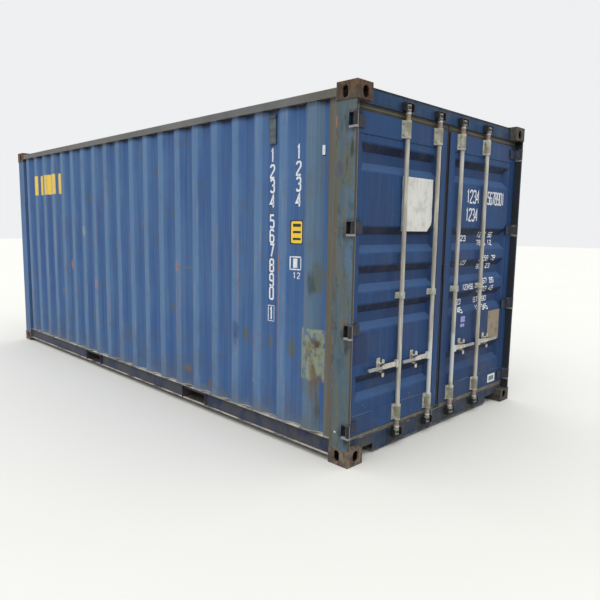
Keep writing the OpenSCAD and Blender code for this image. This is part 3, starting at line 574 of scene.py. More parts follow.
def post_shades(n):
    """Darker rear faces, painted shade on the inner ledge and in the corner beside the doors under the top
    casting, and black painted shade inside the hinge notches.
    """
    depth = n.absolute(n.x)
    rear = n.span(n.facing()[1], -0.5, -0.8)
    left = n.mix(n.between(n.x, -1.1945, -1.185, 0.001), (76, 68, 52), (142, 138, 120))
    face = n.mix(n.span(n.x, -0.1, 0.1), left, (36, 39, 46))
    n.coat(face, rear, n.span(n.y, -3.018, -3.022), 0.85)
    right_rear = n.times(n.span(n.x, 1.0, 1.1), n.span(depth, 1.2135, 1.212), n.span(n.y, -2.90, -2.93))
    n.coat((22, 28, 36), right_rear, 0.85)
    # Painted shade: the post's inner ledge darker, and near black under the top casting
    ledge = n.span(depth, 1.1915, 1.1895)
    n.coat((44, 46, 50), ledge, 0.6)
    n.coat((20, 20, 22), n.span(n.z, 2.425, 2.445), n.span(depth, 1.210, 1.205), 0.9)
    # Painted shade: black inside the hinge notches
    for z in HINGE_ZS:
        notch = n.between(n.z, z - LUG_HALF, z + LUG_HALF)
        n.coat((16, 16, 18), notch, n.span(n.y, -2.955, -2.962), n.span(depth, 1.2135, 1.2115))


def casting_steel(name, top):
    """Cast corners: rusty brown on the left, greyer on the right, partly as painted shade, and black painted
    shade in their hollows.
    """
    n = Nodes(name)
    grain = n.noise(16, detail=9, roughness=0.7, seed=3)
    broad = n.noise(5, detail=6, roughness=0.6, seed=6)
    light, dark = ((104, 74, 48), (58, 42, 31)) if top else ((124, 112, 94), (76, 66, 56))
    rusty = n.mix(n.span(grain, 0.4, 0.62), dark, light)
    # The right castings greyer, the lower ones also darker: partly their own colour, partly painted shade
    grey = n.mix(n.span(grain, 0.4, 0.62), (48, 45, 40), (84, 82, 72))
    n.colour = n.mix(n.span(n.x, -0.1, 0.1), rusty, grey)
    n.coat((84, 82, 74), n.span(broad, 0.52, 0.66), 0.5)
    run = n.flecks(0.50, 0.60, 1.0, (44, 44, 7), detail=7, roughness=0.65, seed=93)
    n.coat((46, 36, 30), run, 0.6)
    n.coat((120, 70, 44), n.edges(0.012, 0.88), n.span(grain, 0.38, 0.55), 0.7)
    across, along = n.absolute(n.x), n.absolute(n.y)
    low, high = (CASTING_TOP, HEIGHT) if top else (0.0, CASTING_H)
    # Painted shade: black inside the castings' hollows
    plan = n.times(n.between(across, 1.064, 1.208, 0.002), n.between(along, 2.860, 3.018, 0.002))
    hollow = n.times(plan, n.between(n.z, low + 0.006, high - 0.006))
    n.coat((16, 14, 13), hollow, 0.95)
    height = n.plus(n.times(grain, 1.6), n.times(n.noise(120, detail=4), 0.4))
    return n.finish(n.plus(n.times(grain, 0.3), 0.62), height, 0.55, 0.003, rounding=0.007)


def bar_steel(name, seed, pale=None):
    """A zinc-coated lock bar with pale cams and collars, stained necks and black painted shade in the cams'
    slots.

    pale is the height range of a repainted stretch.
    """
    n = Nodes(name)
    grain = n.noise(1.0, (60, 60, 5), detail=6, roughness=0.6, seed=seed)
    n.colour = n.mix(n.span(grain, 0.38, 0.64), (166, 162, 148), (202, 198, 186))
    dirt = n.flecks(0.5, 0.68, 1.0, (16, 16, 1.8), detail=6, seed=seed + 4)
    n.coat((134, 124, 106), dirt, 0.55)
    if pale:
        stretch = n.between(n.z, pale[0], pale[1], 0.02)
        n.coat((204, 208, 208), stretch, 0.8)
    rusty = n.flecks(0.38, 0.56, 22, detail=8, roughness=0.7, seed=seed + 8)
    top_neck, low_neck = n.span(n.z, 2.405, 2.425), n.span(n.z, 0.214, 0.196)
    n.coat(n.mix(rusty, (170, 150, 135), (138, 104, 82)), top_neck, 0.8)
    n.coat(n.mix(rusty, (164, 148, 140), (128, 104, 88)), low_neck, 0.8)
    collar = n.most(n.between(n.z, 0.1395, 0.1545, 0.001), n.between(n.z, 2.4595, 2.4745, 0.001))
    n.coat((196, 196, 188), collar, 0.85)
    cam = n.most(n.span(n.z, 2.481, 2.484), n.span(n.z, 0.133, 0.130))
    rim = n.mix(n.times(rusty, 0.35), (152, 158, 146), (112, 92, 74))
    n.coat(rim, cam)
    across = n.absolute(n.x)
    tip = n.most(n.between(across, 0.203, 0.30, 0.001), n.between(across, 0.626, 0.70, 0.001))
    # Painted shade: black in the cams' slots, except at the cams' tips
    inner = n.most(n.between(n.z, 2.494, 2.516, 0.001), n.between(n.z, 0.098, 0.120, 0.001))
    inner = n.times(inner, n.minus(1.0, tip))
    n.coat((30, 30, 32), inner, 0.95)
    height = n.plus(n.times(grain, 0.4), n.times(rusty, n.most(top_neck, low_neck), 0.8))
    return n.finish(n.plus(n.times(dirt, 0.2), 0.42), height, 0.25, 0.001, rounding=0.002)


def hardware_steel(name, light, dark, stain, seed, stained, marks=None):
    """Plain or painted steel of a small part, mottled and stained in patches."""
    n = Nodes(name)
    grain = n.noise(30, detail=8, roughness=0.65, seed=seed)
    n.colour = n.mix(n.span(grain, 0.38, 0.62), dark, light)
    patch = n.flecks(0.50, 0.64, 11, detail=7, roughness=0.65, seed=seed + 3)
    n.coat(stain, patch, stained)
    if marks:
        marks(n)
    height = n.plus(n.times(grain, 0.8), n.times(n.noise(160, detail=3), 0.2))
    return n.finish(n.plus(n.times(patch, 0.2), 0.5), height, 0.3, 0.001, rounding=0.002)


def grip_marks(n):
    """The grip of a handle is duller than the part from the hub to the catch."""
    across = n.absolute(n.x)
    grip = n.most(n.between(across, 0.385, 0.56), n.between(across, 0.808, 0.98))
    n.coat((150, 150, 144), grip, 0.8)


def bearing_marks(n):
    """Olive grime on the feet of the bearings, between their bright rims."""
    across = n.absolute(n.x)
    near = n.most(n.between(across, 0.562, 0.634), n.between(across, 0.139, 0.211))
    upright = n.most(n.between(n.z, 2.306, 2.404), n.between(n.z, 0.215, 0.309))
    grime = n.flecks(0.40, 0.58, 1.0, (18, 18, 7), detail=6, seed=71)
    n.coat((108, 104, 78), near, upright, grime, 0.7)


def lug_marks(n):
    """The lower lug of each hinge has lost its paint."""
    for z in HINGE_ZS:
        n.coat((150, 150, 148), n.between(n.z, z - LUG_HALF, z - 0.038), 0.8)


def blade_marks(n):
    """Dark strokes on a hinge blade, a black barrel and the pale end of the pin's housing."""
    stroke = n.noise(1.0, (60, 60, 34), detail=4, roughness=0.6, seed=95)
    n.coat((12, 14, 20), n.span(stroke, 0.50, 0.56), 0.7)
    depth = n.absolute(n.x)
    n.coat((14, 14, 16), n.span(depth, 1.186, 1.190), 0.92)
    n.coat((164, 158, 146), n.between(depth, 1.200, 1.206, 0.001), 0.85)


def hood_marks(n):
    """A ventilator's sloping hood is darker than its cover."""
    n.coat((44, 50, 56), n.span(n.z, 2.440, 2.448), 0.7)


def rubber(name):
    """Door seals: khaki below, darker above with a painted highlight along the upper seal's lip, and dark
    brown painted shade along the gap between the doors.
    """
    n = Nodes(name)
    grain = n.noise(9, detail=7, roughness=0.65, seed=5)
    low = n.mix(n.span(grain, 0.4, 0.62), (108, 104, 90), (134, 128, 112))
    high = n.mix(n.span(grain, 0.4, 0.62), (40, 38, 31), (54, 52, 42))
    n.colour = n.mix(n.span(n.z, 0.4, 1.2), low, high)
    # Painted highlight along the upper seal's lip
    lip = n.between(n.z, 2.442, 2.454, 0.002)
    n.coat((98, 96, 80), lip, 0.7)
    brown = n.times(n.span(n.z, 0.160, 0.156), n.flecks(0.36, 0.5, 14, detail=6))
    n.coat((84, 58, 42), brown, 0.85)
    # Painted shade: dark along the gap between the doors
    middle = n.span(n.absolute(n.x), 0.08, 0.03)
    n.coat((48, 43, 40), middle, 0.85)
    return n.finish(0.75, grain, 0.2, 0.001)


def plywood(name):
    """Worn floor boards with grain and scrapes along them."""
    n = Nodes(name)
    grain = n.noise(1.0, (34, 1.4, 34), detail=8, roughness=0.6, seed=4, distortion=0.3)
    n.colour = n.mix(n.span(grain, 0.36, 0.64), (104, 72, 48), (146, 108, 74))
    tone = n.noise(0.8, detail=3, seed=8)
    n.coat((88, 70, 56), n.span(tone, 0.42, 0.6), 0.5)
    scrape = n.flecks(0.62, 0.7, 1.0, (46, 2.0, 46), detail=6, roughness=0.7, seed=12)
    n.coat((164, 138, 108), scrape, 0.5)
    return n.finish(n.plus(n.times(grain, 0.25), 0.5), grain, 0.3, 0.0015, rounding=0.0015)


def plate_paint(name, light, dark, seed, amount, scale=12):
    """A thin printed or painted plate or sticker, faded and dirty in patches."""
    n = Nodes(name)
    patch = n.noise(scale, detail=8, roughness=0.65, seed=seed)
    streak = n.noise(1.0, (60, 60, 3), detail=5, seed=seed + 2)
    mask = n.most(n.span(patch, 0.5, 0.68), n.span(streak, 0.56, 0.72))
    n.colour = n.mix(n.times(mask, amount), light, dark)
    return n.finish(n.plus(n.times(mask, 0.2), 0.55), patch, 0.15, 0.0006)


# Painted materials: their looks and what marks them
PAINTS = {
    "left_side_blue": (replace(BLUE, wear=0.0, bump=0.35), left_wall_marks),
    "side_blue": (replace(BLUE, seed=4.0, wear=0.0), rib_marks),
    "front_blue": (replace(BLUE, seed=9.0, wear=0.0, rust=0.3),),
    "frame_blue": (replace(BLUE, seed=2.0, rust=0.35, wear=0.9),),
    "roof_blue": (replace(BLUE, seed=6.0, wear=0.0, rust=0.5, dust=0.22, grime=0.5, streaks=0.1),),
    "door_blue": (DOOR_BLUE, door_marks),
    "door_sheet_blue": (replace(DOOR_BLUE, wear=0.0, seed=1.0), door_marks),
    "end_frame_blue": (
        replace(DOOR_BLUE, base=(24, 48, 84), faded=(36, 64, 102), grime=0.35, rust=0.3, wear=0.2, seed=3.0),
        header_marks,
    ),
    "sill_blue": (
        replace(DOOR_BLUE, base=(30, 46, 68), faded=(44, 63, 88), grime=0.35, rust=0.25, wear=0.5, seed=7.0),
        sill_marks,
    ),
    "top_rail_paint": (TOP_RAIL_PAINT, top_rail_marks),
    "bottom_rail_paint": (BOTTOM_RAIL_PAINT, bottom_rail_marks),
    "underframe_paint": (UNDERFRAME_PAINT,),
}

# Small steel parts: light, dark and stained colours, seed, how stained, and marks
HARDWARE = {
    "bearing_steel": ((196, 194, 180), (166, 166, 150), (132, 124, 98), 2.0, 0.4, bearing_marks),
    "handle_steel": ((216, 210, 198), (190, 184, 170), (140, 124, 102), 5.0, 0.4, grip_marks),
    "catch_steel": ((206, 200, 186), (174, 168, 152), (132, 112, 88), 6.0, 0.5),
    "black_steel": ((38, 38, 40), (22, 23, 25), (54, 46, 40), 8.0, 0.5),
    "blade_paint": ((34, 46, 72), (18, 24, 38), (50, 46, 46), 11.0, 0.5, blade_marks),
    "lug_steel": ((76, 80, 88), (50, 52, 58), (96, 82, 72), 12.0, 0.7, lug_marks),
    "vent_paint": ((84, 98, 104), (62, 76, 82), (92, 92, 80), 13.0, 0.4, hood_marks),
    "pin_steel": ((96, 96, 98), (70, 70, 72), (92, 74, 60), 14.0, 0.6),
    "bolt_steel": ((176, 172, 160), (130, 126, 114), (112, 86, 62), 15.0, 0.6),
}

# Plates, prints and stickers: light and dark colours, seed, how dirty, and the patches' scale
PLATES = {
    "tan_plate": ((146, 132, 110), (116, 102, 82), 3.0, 0.6),
    "mark_white": ((232, 234, 234), (150, 164, 186), 5.0, 0.45, 26),
    "label_yellow": ((244, 206, 62), (196, 160, 60), 6.0, 0.4),
    "label_dark": ((34, 34, 34), (60, 58, 52), 7.0, 0.4),
    "sign_white": ((226, 226, 218), (180, 176, 160), 8.0, 0.5, 9),
    "label_dull": ((128, 136, 126), (98, 104, 98), 10.0, 0.5, 30),
    "label_lilac": ((158, 158, 212), (98, 98, 170), 9.0, 0.8, 40),
}

# The rest: how each is made, and with what
OTHERS = {
    "post_paint": (post_paint, 2.0),
    "top_casting_steel": (casting_steel, True),
    "bottom_casting_steel": (casting_steel, False),
    "bar_steel": (bar_steel, 1.0),
    "bar_steel_left": (bar_steel, 5.0, (0.30, 0.75)),
    "bar_steel_right": (bar_steel, 9.0, (0.36, 0.78)),
    "seal_rubber": (rubber,),
    "floor_plywood": (plywood,),
}

# The CAD nodes that each material paints
PAINTED = {
    "bottom_casting_steel": "bottom_corner_castings",
    "top_casting_steel": "rear_top_castings front_top_castings",
    "frame_blue": "front_corner_posts",
    "post_paint": "rear_corner_posts",
    "bottom_rail_paint": "bottom_side_rails front_sill",
    "top_rail_paint": "top_side_rails front_header",
    "sill_blue": "door_sill",
    "end_frame_blue": "door_header",
    "left_side_blue": "left_side_wall",
    "side_blue": "right_side_wall",
    "front_blue": "front_wall",
    "roof_blue": "roof_panel roof_end_plates",
    "underframe_paint": "cross_members fork_pockets floor_centre_strip",
    "floor_plywood": "floor_boards",
    "lug_steel": "hinge_lugs",
    "pin_steel": "hinge_pins",
    "black_steel": "top_cam_keepers bottom_cam_keepers",
    "vent_paint": "side_ventilators",
    "door_blue": "left_door_frame right_door_frame door_overlap_plate",
    "door_sheet_blue": "left_door_panel right_door_panel",
    "seal_rubber": "left_door_seal right_door_seal",
    "blade_paint": "left_hinge_blades right_hinge_blades",
    "bearing_steel": "left_bar_bearings right_bar_bearings",
    "catch_steel": "left_handle_catches right_handle_catches",
    "tan_plate": "right_door_plate",
    "bar_steel": "lock_bar_1 lock_bar_4",
    "bar_steel_left": "lock_bar_2",
    "bar_steel_right": "lock_bar_3",
    "handle_steel": "bar_handle_1 bar_handle_2 bar_handle_3 bar_handle_4",
}


def make_materials():
    made = {name: make(name, *row) for name, (make, *row) in OTHERS.items()}
    for table, make in ((PAINTS, weathered), (HARDWARE, hardware_steel), (PLATES, plate_paint)):
        made.update({name: make(name, *row) for name, row in table.items()})
    return made


def paint_nodes(frame, materials):
    for material, names in PAINTED.items():
        for name in names.split():
            node = frame["nodes"][name]
            if not node.material_slots:
                node.data.materials.append(materials[material])
            for slot in node.material_slots:
                slot.material = materials[material]


# Pieces


def mesh_data(name, mesh, material):
    """The data of a finished bmesh, in one material."""
    data = bpy.data.meshes.new(name)
    bmesh.ops.recalc_face_normals(mesh, faces=mesh.faces)
    mesh.to_mesh(data)
    mesh.free()
    data.materials.append(material)
    return data


def add_object(name, data):
    thing = bpy.data.objects.new(name, data)
    bpy.context.scene.collection.objects.link(thing)
    return thing


def add_piece(name, mesh, body, material):
    """Turns a finished bmesh into a piece that rides on a CAD body."""
    piece = add_object(name, mesh_data(name, mesh, material))
    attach(piece, body)


def bridge(mesh, rings):
    """Faces between closed rings of points, each with the next."""
    for low, high in zip(rings, rings[1:]):
        for k in range(len(low)):
            after = (k + 1) % len(low)
            mesh.faces.new((low[k], low[after], high[after], high[k]))


def circle(mesh, centre, a, b, radius, count):
    """Points round a centre, in the plane of the directions a and b."""
    step = 2 * math.pi / count
    return [
        mesh.verts.new(centre + a * (radius * math.cos(k * step)) + b * (radius * math.sin(k * step)))
        for k in range(count)
    ]


# Strokes of plain digits in a box 1 wide and 2 high
DIGITS = {
    "0": [[(0.2, 0), (0.8, 0), (1, 0.22), (1, 1.78), (0.8, 2), (0.2, 2), (0, 1.78), (0, 0.22), (0.2, 0)]],
    "1": [[(0.2, 1.65), (0.5, 2), (0.5, 0)]],
    "2": [[(0, 1.6), (0, 1.8), (0.2, 2), (0.8, 2), (1, 1.8), (1, 1.3), (0, 0.25), (0, 0), (1, 0)]],
    "3": [
        [(0, 1.7), (0.2, 2), (0.8, 2), (1, 1.8), (1, 1.25), (0.75, 1.05), (0.4, 1.05)],
        [(0.75, 1.05), (1, 0.85), (1, 0.2), (0.8, 0), (0.2, 0), (0, 0.3)],
    ],
    "4": [[(0.78, 0), (0.78, 2), (0, 0.6), (1.05, 0.6)]],
    "5": [[(1, 2), (0.05, 2), (0.05, 1.15), (0.8, 1.15), (1, 0.95), (1, 0.2), (0.8, 0), (0.2, 0), (0, 0.25)]],
    "6": [
        [(1, 1.7), (0.8, 2), (0.2, 2), (0, 1.8), (0, 0.2), (0.2, 0)]
        + [(0.8, 0), (1, 0.2), (1, 0.9), (0.8, 1.1), (0, 1.1)]
    ],
    "7": [[(0, 2), (1, 2), (0.35, 0)]],
    "8": [
        [(0.2, 1.08), (0, 1.3), (0, 1.8), (0.2, 2), (0.8, 2), (1, 1.8), (1, 1.3), (0.8, 1.08), (0.2, 1.08)],
        [(0.2, 1.08), (0, 0.88), (0, 0.2), (0.2, 0), (0.8, 0), (1, 0.2), (1, 0.88), (0.8, 1.08)],
    ],
    "9": [
        [(0, 0.3), (0.2, 0), (0.8, 0), (1, 0.2), (1, 1.8), (0.8, 2)]
        + [(0.2, 2), (0, 1.8), (0, 1.1), (0.2, 0.9), (1, 0.9)]
    ],
}

# How far paint and stickers lie off what is under them, in rising layers
PAINT_LIFT = 0.0009
SECOND_LIFT = 0.0016
LABEL_LIFT = 0.0018
PRINT_LIFT = 0.0026
# Places outside the object, beside it and before its doors, from which a surface is looked for
BESIDE_X = 1.7
BEFORE_Y = -3.3
PAINT_STEP = 0.02


def ribbon(points, half):
    """Left and right points along a line, mitred at its corners."""
    sides = []
    for i, p in enumerate(points):
        before = (p - points[i - 1]).normalized() if i else (points[1] - p).normalized()
        after = (points[i + 1] - p).normalized() if i + 1 < len(points) else before
        along = (before + after).normalized()
        side = Vector((-along.y, along.x))
        reach = half / max(0.45, side.dot(Vector((-after.y, after.x))))
        sides.append((p + side * reach, p - side * reach))
    return sides


def subdivided(line, step):
    points = [Vector(line[0])]
    for a, b in zip(line, line[1:]):
        a, b = Vector(a), Vector(b)
        count = max(1, math.ceil((b - a).length / step))
        points += [a.lerp(b, k / count) for k in range(1, count + 1)]
    return points


class Surface:
    """The outside of some CAD nodes, seen along one direction, for paint and stickers to lie on."""

    def __init__(self, frame, towards, *nodes):
        self.towards = Vector(towards)
        points, faces = [], []
        for name in nodes:
            mesh = frame["nodes"][name].data
            start = len(points)
            points += [v.co.copy() for v in mesh.vertices]
            faces += [[start + i for i in p.vertices] for p in mesh.polygons]
        self.tree = BVHTree.FromPolygons(points, faces)

    def place(self, across, up, lift):
        """The place on the surface at across and up, lifted off it a little."""
        inward = self.towards.x
        far = Vector((-math.copysign(BESIDE_X, inward), across, up) if inward else (across, BEFORE_Y, up))
        hit, normal, _, _ = self.tree.ray_cast(far - self.towards * 0.5, self.towards, 1.5)
        if hit is None:
            return far
        if normal.dot(self.towards) > 0:
            normal = -normal
        return hit + normal * lift

    def digit(self, mesh, digit, left, low, width, unit, half):
        """Paints a digit from its lower left corner. unit is half its height, half is half a stroke."""
        for line in DIGITS[digit]:
            flat = subdivided([(left + u * width, low + v * unit) for u, v in line], PAINT_STEP)
            pairs = ribbon(flat, half)
            rows = [[mesh.verts.new(self.place(*p, PAINT_LIFT)) for p in pair] for pair in pairs]
            for (a, b), (c, d) in zip(rows, rows[1:]):
                mesh.faces.new((a, b, d, c))

    def sticker(self, mesh, across, up, corner=0.012, parts=14, lift=PAINT_LIFT):
        """A thin rounded sheet that follows the surface behind it."""
        (a0, a1), (z0, z1) = across, up
        grid = []
        for i in range(parts + 1):
            row = []
            for j in range(parts + 1):
                a, z = a0 + (a1 - a0) * i / parts, z0 + (z1 - z0) * j / parts
                ca, cz = min(max(a, a0 + corner), a1 - corner), min(max(z, z0 + corner), z1 - corner)
                off = Vector((a - ca, z - cz))
                if off.length > corner:
                    off = off.normalized() * corner
                row.append(mesh.verts.new(self.place(ca + off.x, cz + off.y, lift)))
            grid.append(row)
        for i in range(parts):
            for j in range(parts):
                mesh.faces.new((grid[i][j], grid[i + 1][j], grid[i + 1][j + 1], grid[i][j + 1]))


# Digits on the side walls: the columns' middle, the digits' middle heights and the digits
SIDE_COLUMNS = (
    (-2.188, (2.178, 2.061, 1.955, 1.841, 1.690, 1.579, 1.470, 1.355, 1.243, 1.141, 0.983), "12345678901"),
    (-2.468, (2.183, 2.068, 1.957, 1.844), "1234"),
)
# Thin lines and a small square round and under the digits: along from, to, up from, to
SIDE_LINES = (
    (-2.508, -2.406, 1.428, 1.437),
    (-2.508, -2.406, 1.336, 1.345),
    (-2.508, -2.500, 1.336, 1.437),
    (-2.414, -2.406, 1.336, 1.437),
    (-2.468, -2.430, 1.352, 1.421),
    (-2.222, -2.154, 1.042, 1.047),
    (-2.222, -2.154, 0.922, 0.927),
    (-2.222, -2.217, 0.922, 1.047),
    (-2.159, -2.154, 0.922, 1.047),
)
LABEL_BARS = ((1.652, 1.674), (1.606, 1.622), (1.556, 1.572))


def side_marks(frame, materials):
    """Two columns of plain digits, a plain yellow label, framed squares and a short bar, on each side."""
    for side, wall, inward in (("left", "left_side_wall", 1), ("right", "right_side_wall", -1)):
        on = Surface(frame, (inward, 0, 0), wall)

        def centred(digit, middle, z, width, unit, half):
            on.digit(white, digit, middle + inward * width / 2, z - unit, -inward * width, unit, half)

        white = bmesh.new()
        for middle, heights, digits in SIDE_COLUMNS:
            for z, digit in zip(heights, digits):
                centred(digit, middle, z, 0.040, 0.046, 0.0075)
        for a0, a1, z0, z1 in SIDE_LINES:
            on.sticker(white, (a0, a1), (z0, z1), corner=0.001, parts=6)
        for k, digit in enumerate("12"):
            centred(digit, -2.441 - 0.042 * k, 1.296, 0.024, 0.020, 0.0032)
        on.sticker(white, (-2.724, -2.706), (2.143, 2.209), corner=0.003, parts=6, lift=SECOND_LIFT)
        add_piece(f"{side}_side_marks", white, "container", materials["mark_white"])

        dark = bmesh.new()
        on.sticker(dark, (-2.520, -2.406), (1.525, 1.700))
        on.sticker(dark, (-2.730, -2.706), (2.135, 2.209), corner=0.003, parts=6)
        for up in LABEL_BARS:
            on.sticker(dark, (-2.500, -2.426), up, corner=0.002, parts=4, lift=PRINT_LIFT)
        add_piece(f"{side}_label_edges", dark, "container", materials["label_dark"])
        yellow = bmesh.new()
        on.sticker(yellow, (-2.512, -2.414), (1.533, 1.692), lift=LABEL_LIFT)
        add_piece(f"{side}_yellow_label", yellow, "container", materials["label_yellow"])


# Plain digits on the right door: text, left and lower edge, digit width and height, half a stroke's width
DOOR_ROWS = (
    ("1234", 0.338, 1.880, 0.040, 0.104, 0.0065),
    ("5678901", 0.700, 1.880, 0.034, 0.104, 0.0065),
    ("1234", 0.334, 1.728, 0.038, 0.100, 0.0065),
    ("123", 0.280, 1.556, 0.034, 0.042, 0.0045),
    ("1234 56", 0.600, 1.588, 0.030, 0.042, 0.0042),
    ("7890 12", 0.600, 1.517, 0.030, 0.042, 0.0042),
    ("123", 0.300, 1.350, 0.024, 0.036, 0.0034),
    ("3456 78", 0.612, 1.378, 0.032, 0.042, 0.0042),
    ("901 23", 0.620, 1.308, 0.032, 0.038, 0.0042),
    ("4567 89", 0.610, 1.172, 0.032, 0.042, 0.0042),
    ("0123 45", 0.610, 1.100, 0.032, 0.040, 0.0042),
    ("123456", 0.340, 1.135, 0.023, 0.042, 0.0036),
    ("123", 0.280, 1.006, 0.026, 0.042, 0.0040),
    ("67 890", 0.606, 1.004, 0.030, 0.042, 0.0040),
    ("45", 0.298, 0.934, 0.030, 0.040, 0.0042),
    ("12 345", 0.610, 0.930, 0.028, 0.040, 0.0040),
)
# Room between two digits, as a share of a digit's width
DIGIT_GAP = 0.35


def right_door_marks(frame, materials):
    """Rows of plain digits, a blank label and two stickers."""
    on = Surface(frame, (0, 1, 0), "right_door_panel", "right_door_frame")
    white = bmesh.new()
    for text, x, z, width, height, half in DOOR_ROWS:
        for i, digit in enumerate(text):
            if digit != " ":
                on.digit(white, digit, x + i * width * (1 + DIGIT_GAP), z, width, height / 2, half)
    on.sticker(white, (0.886, 1.028), (0.208, 0.287), corner=0.003, parts=8)
    dull = bmesh.new()
    on.sticker(dull, (0.908, 1.006), (0.226, 0.269), corner=0.002, parts=6, lift=SECOND_LIFT)
    add_piece("right_door_label", dull, "right_door", materials["label_dull"])
    add_piece("right_door_marks", white, "right_door", materials["mark_white"])
    lilac = bmesh.new()
    on.sticker(lilac, (0.337, 0.409), (0.850, 0.901), corner=0.004, parts=8)
    on.sticker(lilac, (0.333, 0.403), (0.808, 0.836), corner=0.004, parts=8)
    add_piece("right_door_stickers", lilac, "right_door", materials["label_lilac"])


SIGN_X = (-0.605, -0.205)
SIGN_Z = (1.632, 2.030)
SIGN_CUT = 0.06
SIGN_THICKNESS = 0.0015
SIGN_GAP = 0.0035
SIGN_PARTS = 16


def door_sign(materials):
    """A blank sheet on the left door, slightly bowed, with its lower right corner cut off."""
    mesh = bmesh.new()
    (x0, x1), (z0, z1) = SIGN_X, SIGN_Z
    last = SIGN_PARTS
    front, back = {}, {}
    for i in range(last + 1):
        for j in range(last + 1):
            x, z = x0 + (x1 - x0) * i / last, z0 + (z1 - z0) * j / last
            x = min(x, x1 - max(0.0, SIGN_CUT - (z - z0)))
            bow = 0.0035 * math.sin(math.pi * i / last) + 0.002 * math.sin(2.2 * math.pi * j / last)
            y = PANEL_Y - SIGN_GAP - abs(bow)
            front[i, j] = mesh.verts.new((x, y - SIGN_THICKNESS, z))
            back[i, j] = mesh.verts.new((x, y, z))
    for i in range(last):
        for j in range(last):
            corners = ((i, j), (i + 1, j), (i + 1, j + 1), (i, j + 1))
            mesh.faces.new([front[c] for c in corners])
            mesh.faces.new([back[c] for c in reversed(corners)])
    rim = [(i, 0) for i in range(last)] + [(last, j) for j in range(last)]
    rim += [(i, last) for i in range(last, 0, -1)] + [(0, j) for j in range(last, 0, -1)]
    bridge(mesh, [[back[c] for c in rim], [front[c] for c in rim]])
    bmesh.ops.remove_doubles(mesh, verts=mesh.verts, dist=0.00005)
    add_piece("left_door_sign", mesh, "left_door", materials["sign_white"])


BOLT_RADIUS = 0.0062
BOLT_HEIGHT = 0.007
BOLT_SPREAD = 0.0365
FOOT_THICKNESS = 0.008
# Heights of the bolts through the bars' bearings and guides, and the faces that these stand on
BOLT_ROWS = (((2.318, 2.392), DOOR_Y), ((1.160,), PANEL_Y), ((0.232, 0.300), DOOR_Y))


def hex_head(mesh, at):
    """A bolt head with a chamfered top and a washer under it, facing out of the doors."""
    axis = Vector((0, -1, 0))
    a = axis.orthogonal().normalized()
    b = axis.cross(a)
    r, h = BOLT_RADIUS, BOLT_HEIGHT
    washer = h * 0.25
    for sides, profile in (
        (12, ((r * 1.45, -0.001), (r * 1.45, washer * 0.8), (r * 1.3, washer))),
        (6, ((r, washer * 0.5), (r, h * 0.85), (r * 0.82, h))),
    ):
        rings = [circle(mesh, Vector(at) + axis * level, a, b, radius, sides) for radius, level in profile]
        bridge(mesh, rings)
        mesh.faces.new(rings[-1])


def bearing_bolts(materials):
    """Bolts through the feet of the bars' bearings and guides."""
    for door, bars in (("left", BAR_XS[:2]), ("right", BAR_XS[2:])):
        mesh = bmesh.new()
        for x in bars:
            for heights, face in BOLT_ROWS:
                for z in heights:
                    for s in (-1, 1):
                        hex_head(mesh, (x + s * BOLT_SPREAD, face - FOOT_THICKNESS, z))
        add_piece(f"{door}_bearing_bolts", mesh, f"{door}_door", materials["bolt_steel"])


BEAD_STEP = 0.012
BEAD_SIDES = 6


def bead(mesh, line, radius, seed):
    """A weld bead: a low ridge that follows a line, with small ripples along it."""
    chance = random.Random(seed)
    points = subdivided(line, BEAD_STEP)
    last = len(points) - 1
    rings = []
    for i, p in enumerate(points):
        along = (points[min(last, i + 1)] - points[max(0, i - 1)]).normalized()
        a = along.orthogonal().normalized()
        r = radius * (0.85 + 0.3 * chance.random())
        if i in (0, last):
            r *= 0.4
        rings.append(circle(mesh, p, a, along.cross(a), r, BEAD_SIDES))
    bridge(mesh, rings)
    mesh.faces.new(rings[0][::-1])
    mesh.faces.new(rings[-1])


RIB_SLOPE = 0.068
STRIP_SLOPE = 0.030


def wall_line(z, side):
    """The side wall's outer line at a height, from the door end to the front."""
    profile = [(-SIDE_Y, 0.0), (STRIP_Y, 0.0), (STRIP_Y + STRIP_SLOPE, WALL_DEPTH)]
    reach = RIB_HALF + RIB_SLOPE
    count = 0
    while (middle := RIB_FIRST_Y + count * RIB_PITCH) + reach <= SIDE_Y:
        profile += [
            (middle - reach, WALL_DEPTH),
            (middle - RIB_HALF, 0.0),
            (middle + RIB_HALF, 0.0),
            (middle + reach, WALL_DEPTH),
        ]
        count += 1
    profile.append((SIDE_Y, WALL_DEPTH))
    return [(side * (WALL_X - depth), y, z) for y, depth in profile]


def frame_welds(materials):
    """Weld beads along the walls' feet and tops and round the castings."""
    for side, s in (("left", -1), ("right", 1)):
        mesh = bmesh.new()
        bead(mesh, wall_line(RAIL_TOP + 0.001, s), 0.0035, seed=11)
        bead(mesh, wall_line(TOP_RAIL - 0.001, s), 0.003, seed=12)
        add_piece(f"{side}_wall_welds", mesh, "container", materials["bottom_rail_paint"])
        mesh = bmesh.new()
        for z in (CASTING_H, CASTING_TOP):
            for y in (POST_Y, -POST_Y):
                inner = math.copysign(SIDE_Y, y)
                bead(mesh, [(s * POST_X, y, z), (s * POST_X, inner, z)], 0.004, seed=13)
        add_piece(f"{side}_post_welds", mesh, "container", materials["post_paint"])


# Forms that stand in for plainer CAD solids


def stand_in(frame, name, data):
    """Puts a mesh on a CAD node's body in the node's place."""
    node = frame["nodes"][name]
    piece = add_object(f"{name}_form", data)
    body = next(b for b, empty in frame["bodies"].items() if empty is node.parent)
    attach(piece, body)
    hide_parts(name)


def reshaped(frame, move, *names):
    """Pieces in place of CAD nodes: each node's mesh with every point moved by a rule."""
    for name in names:
        data = frame["nodes"][name].data.copy()
        for v in data.vertices:
            v.co = move(*v.co)
        data.update()
        stand_in(frame, name, data)


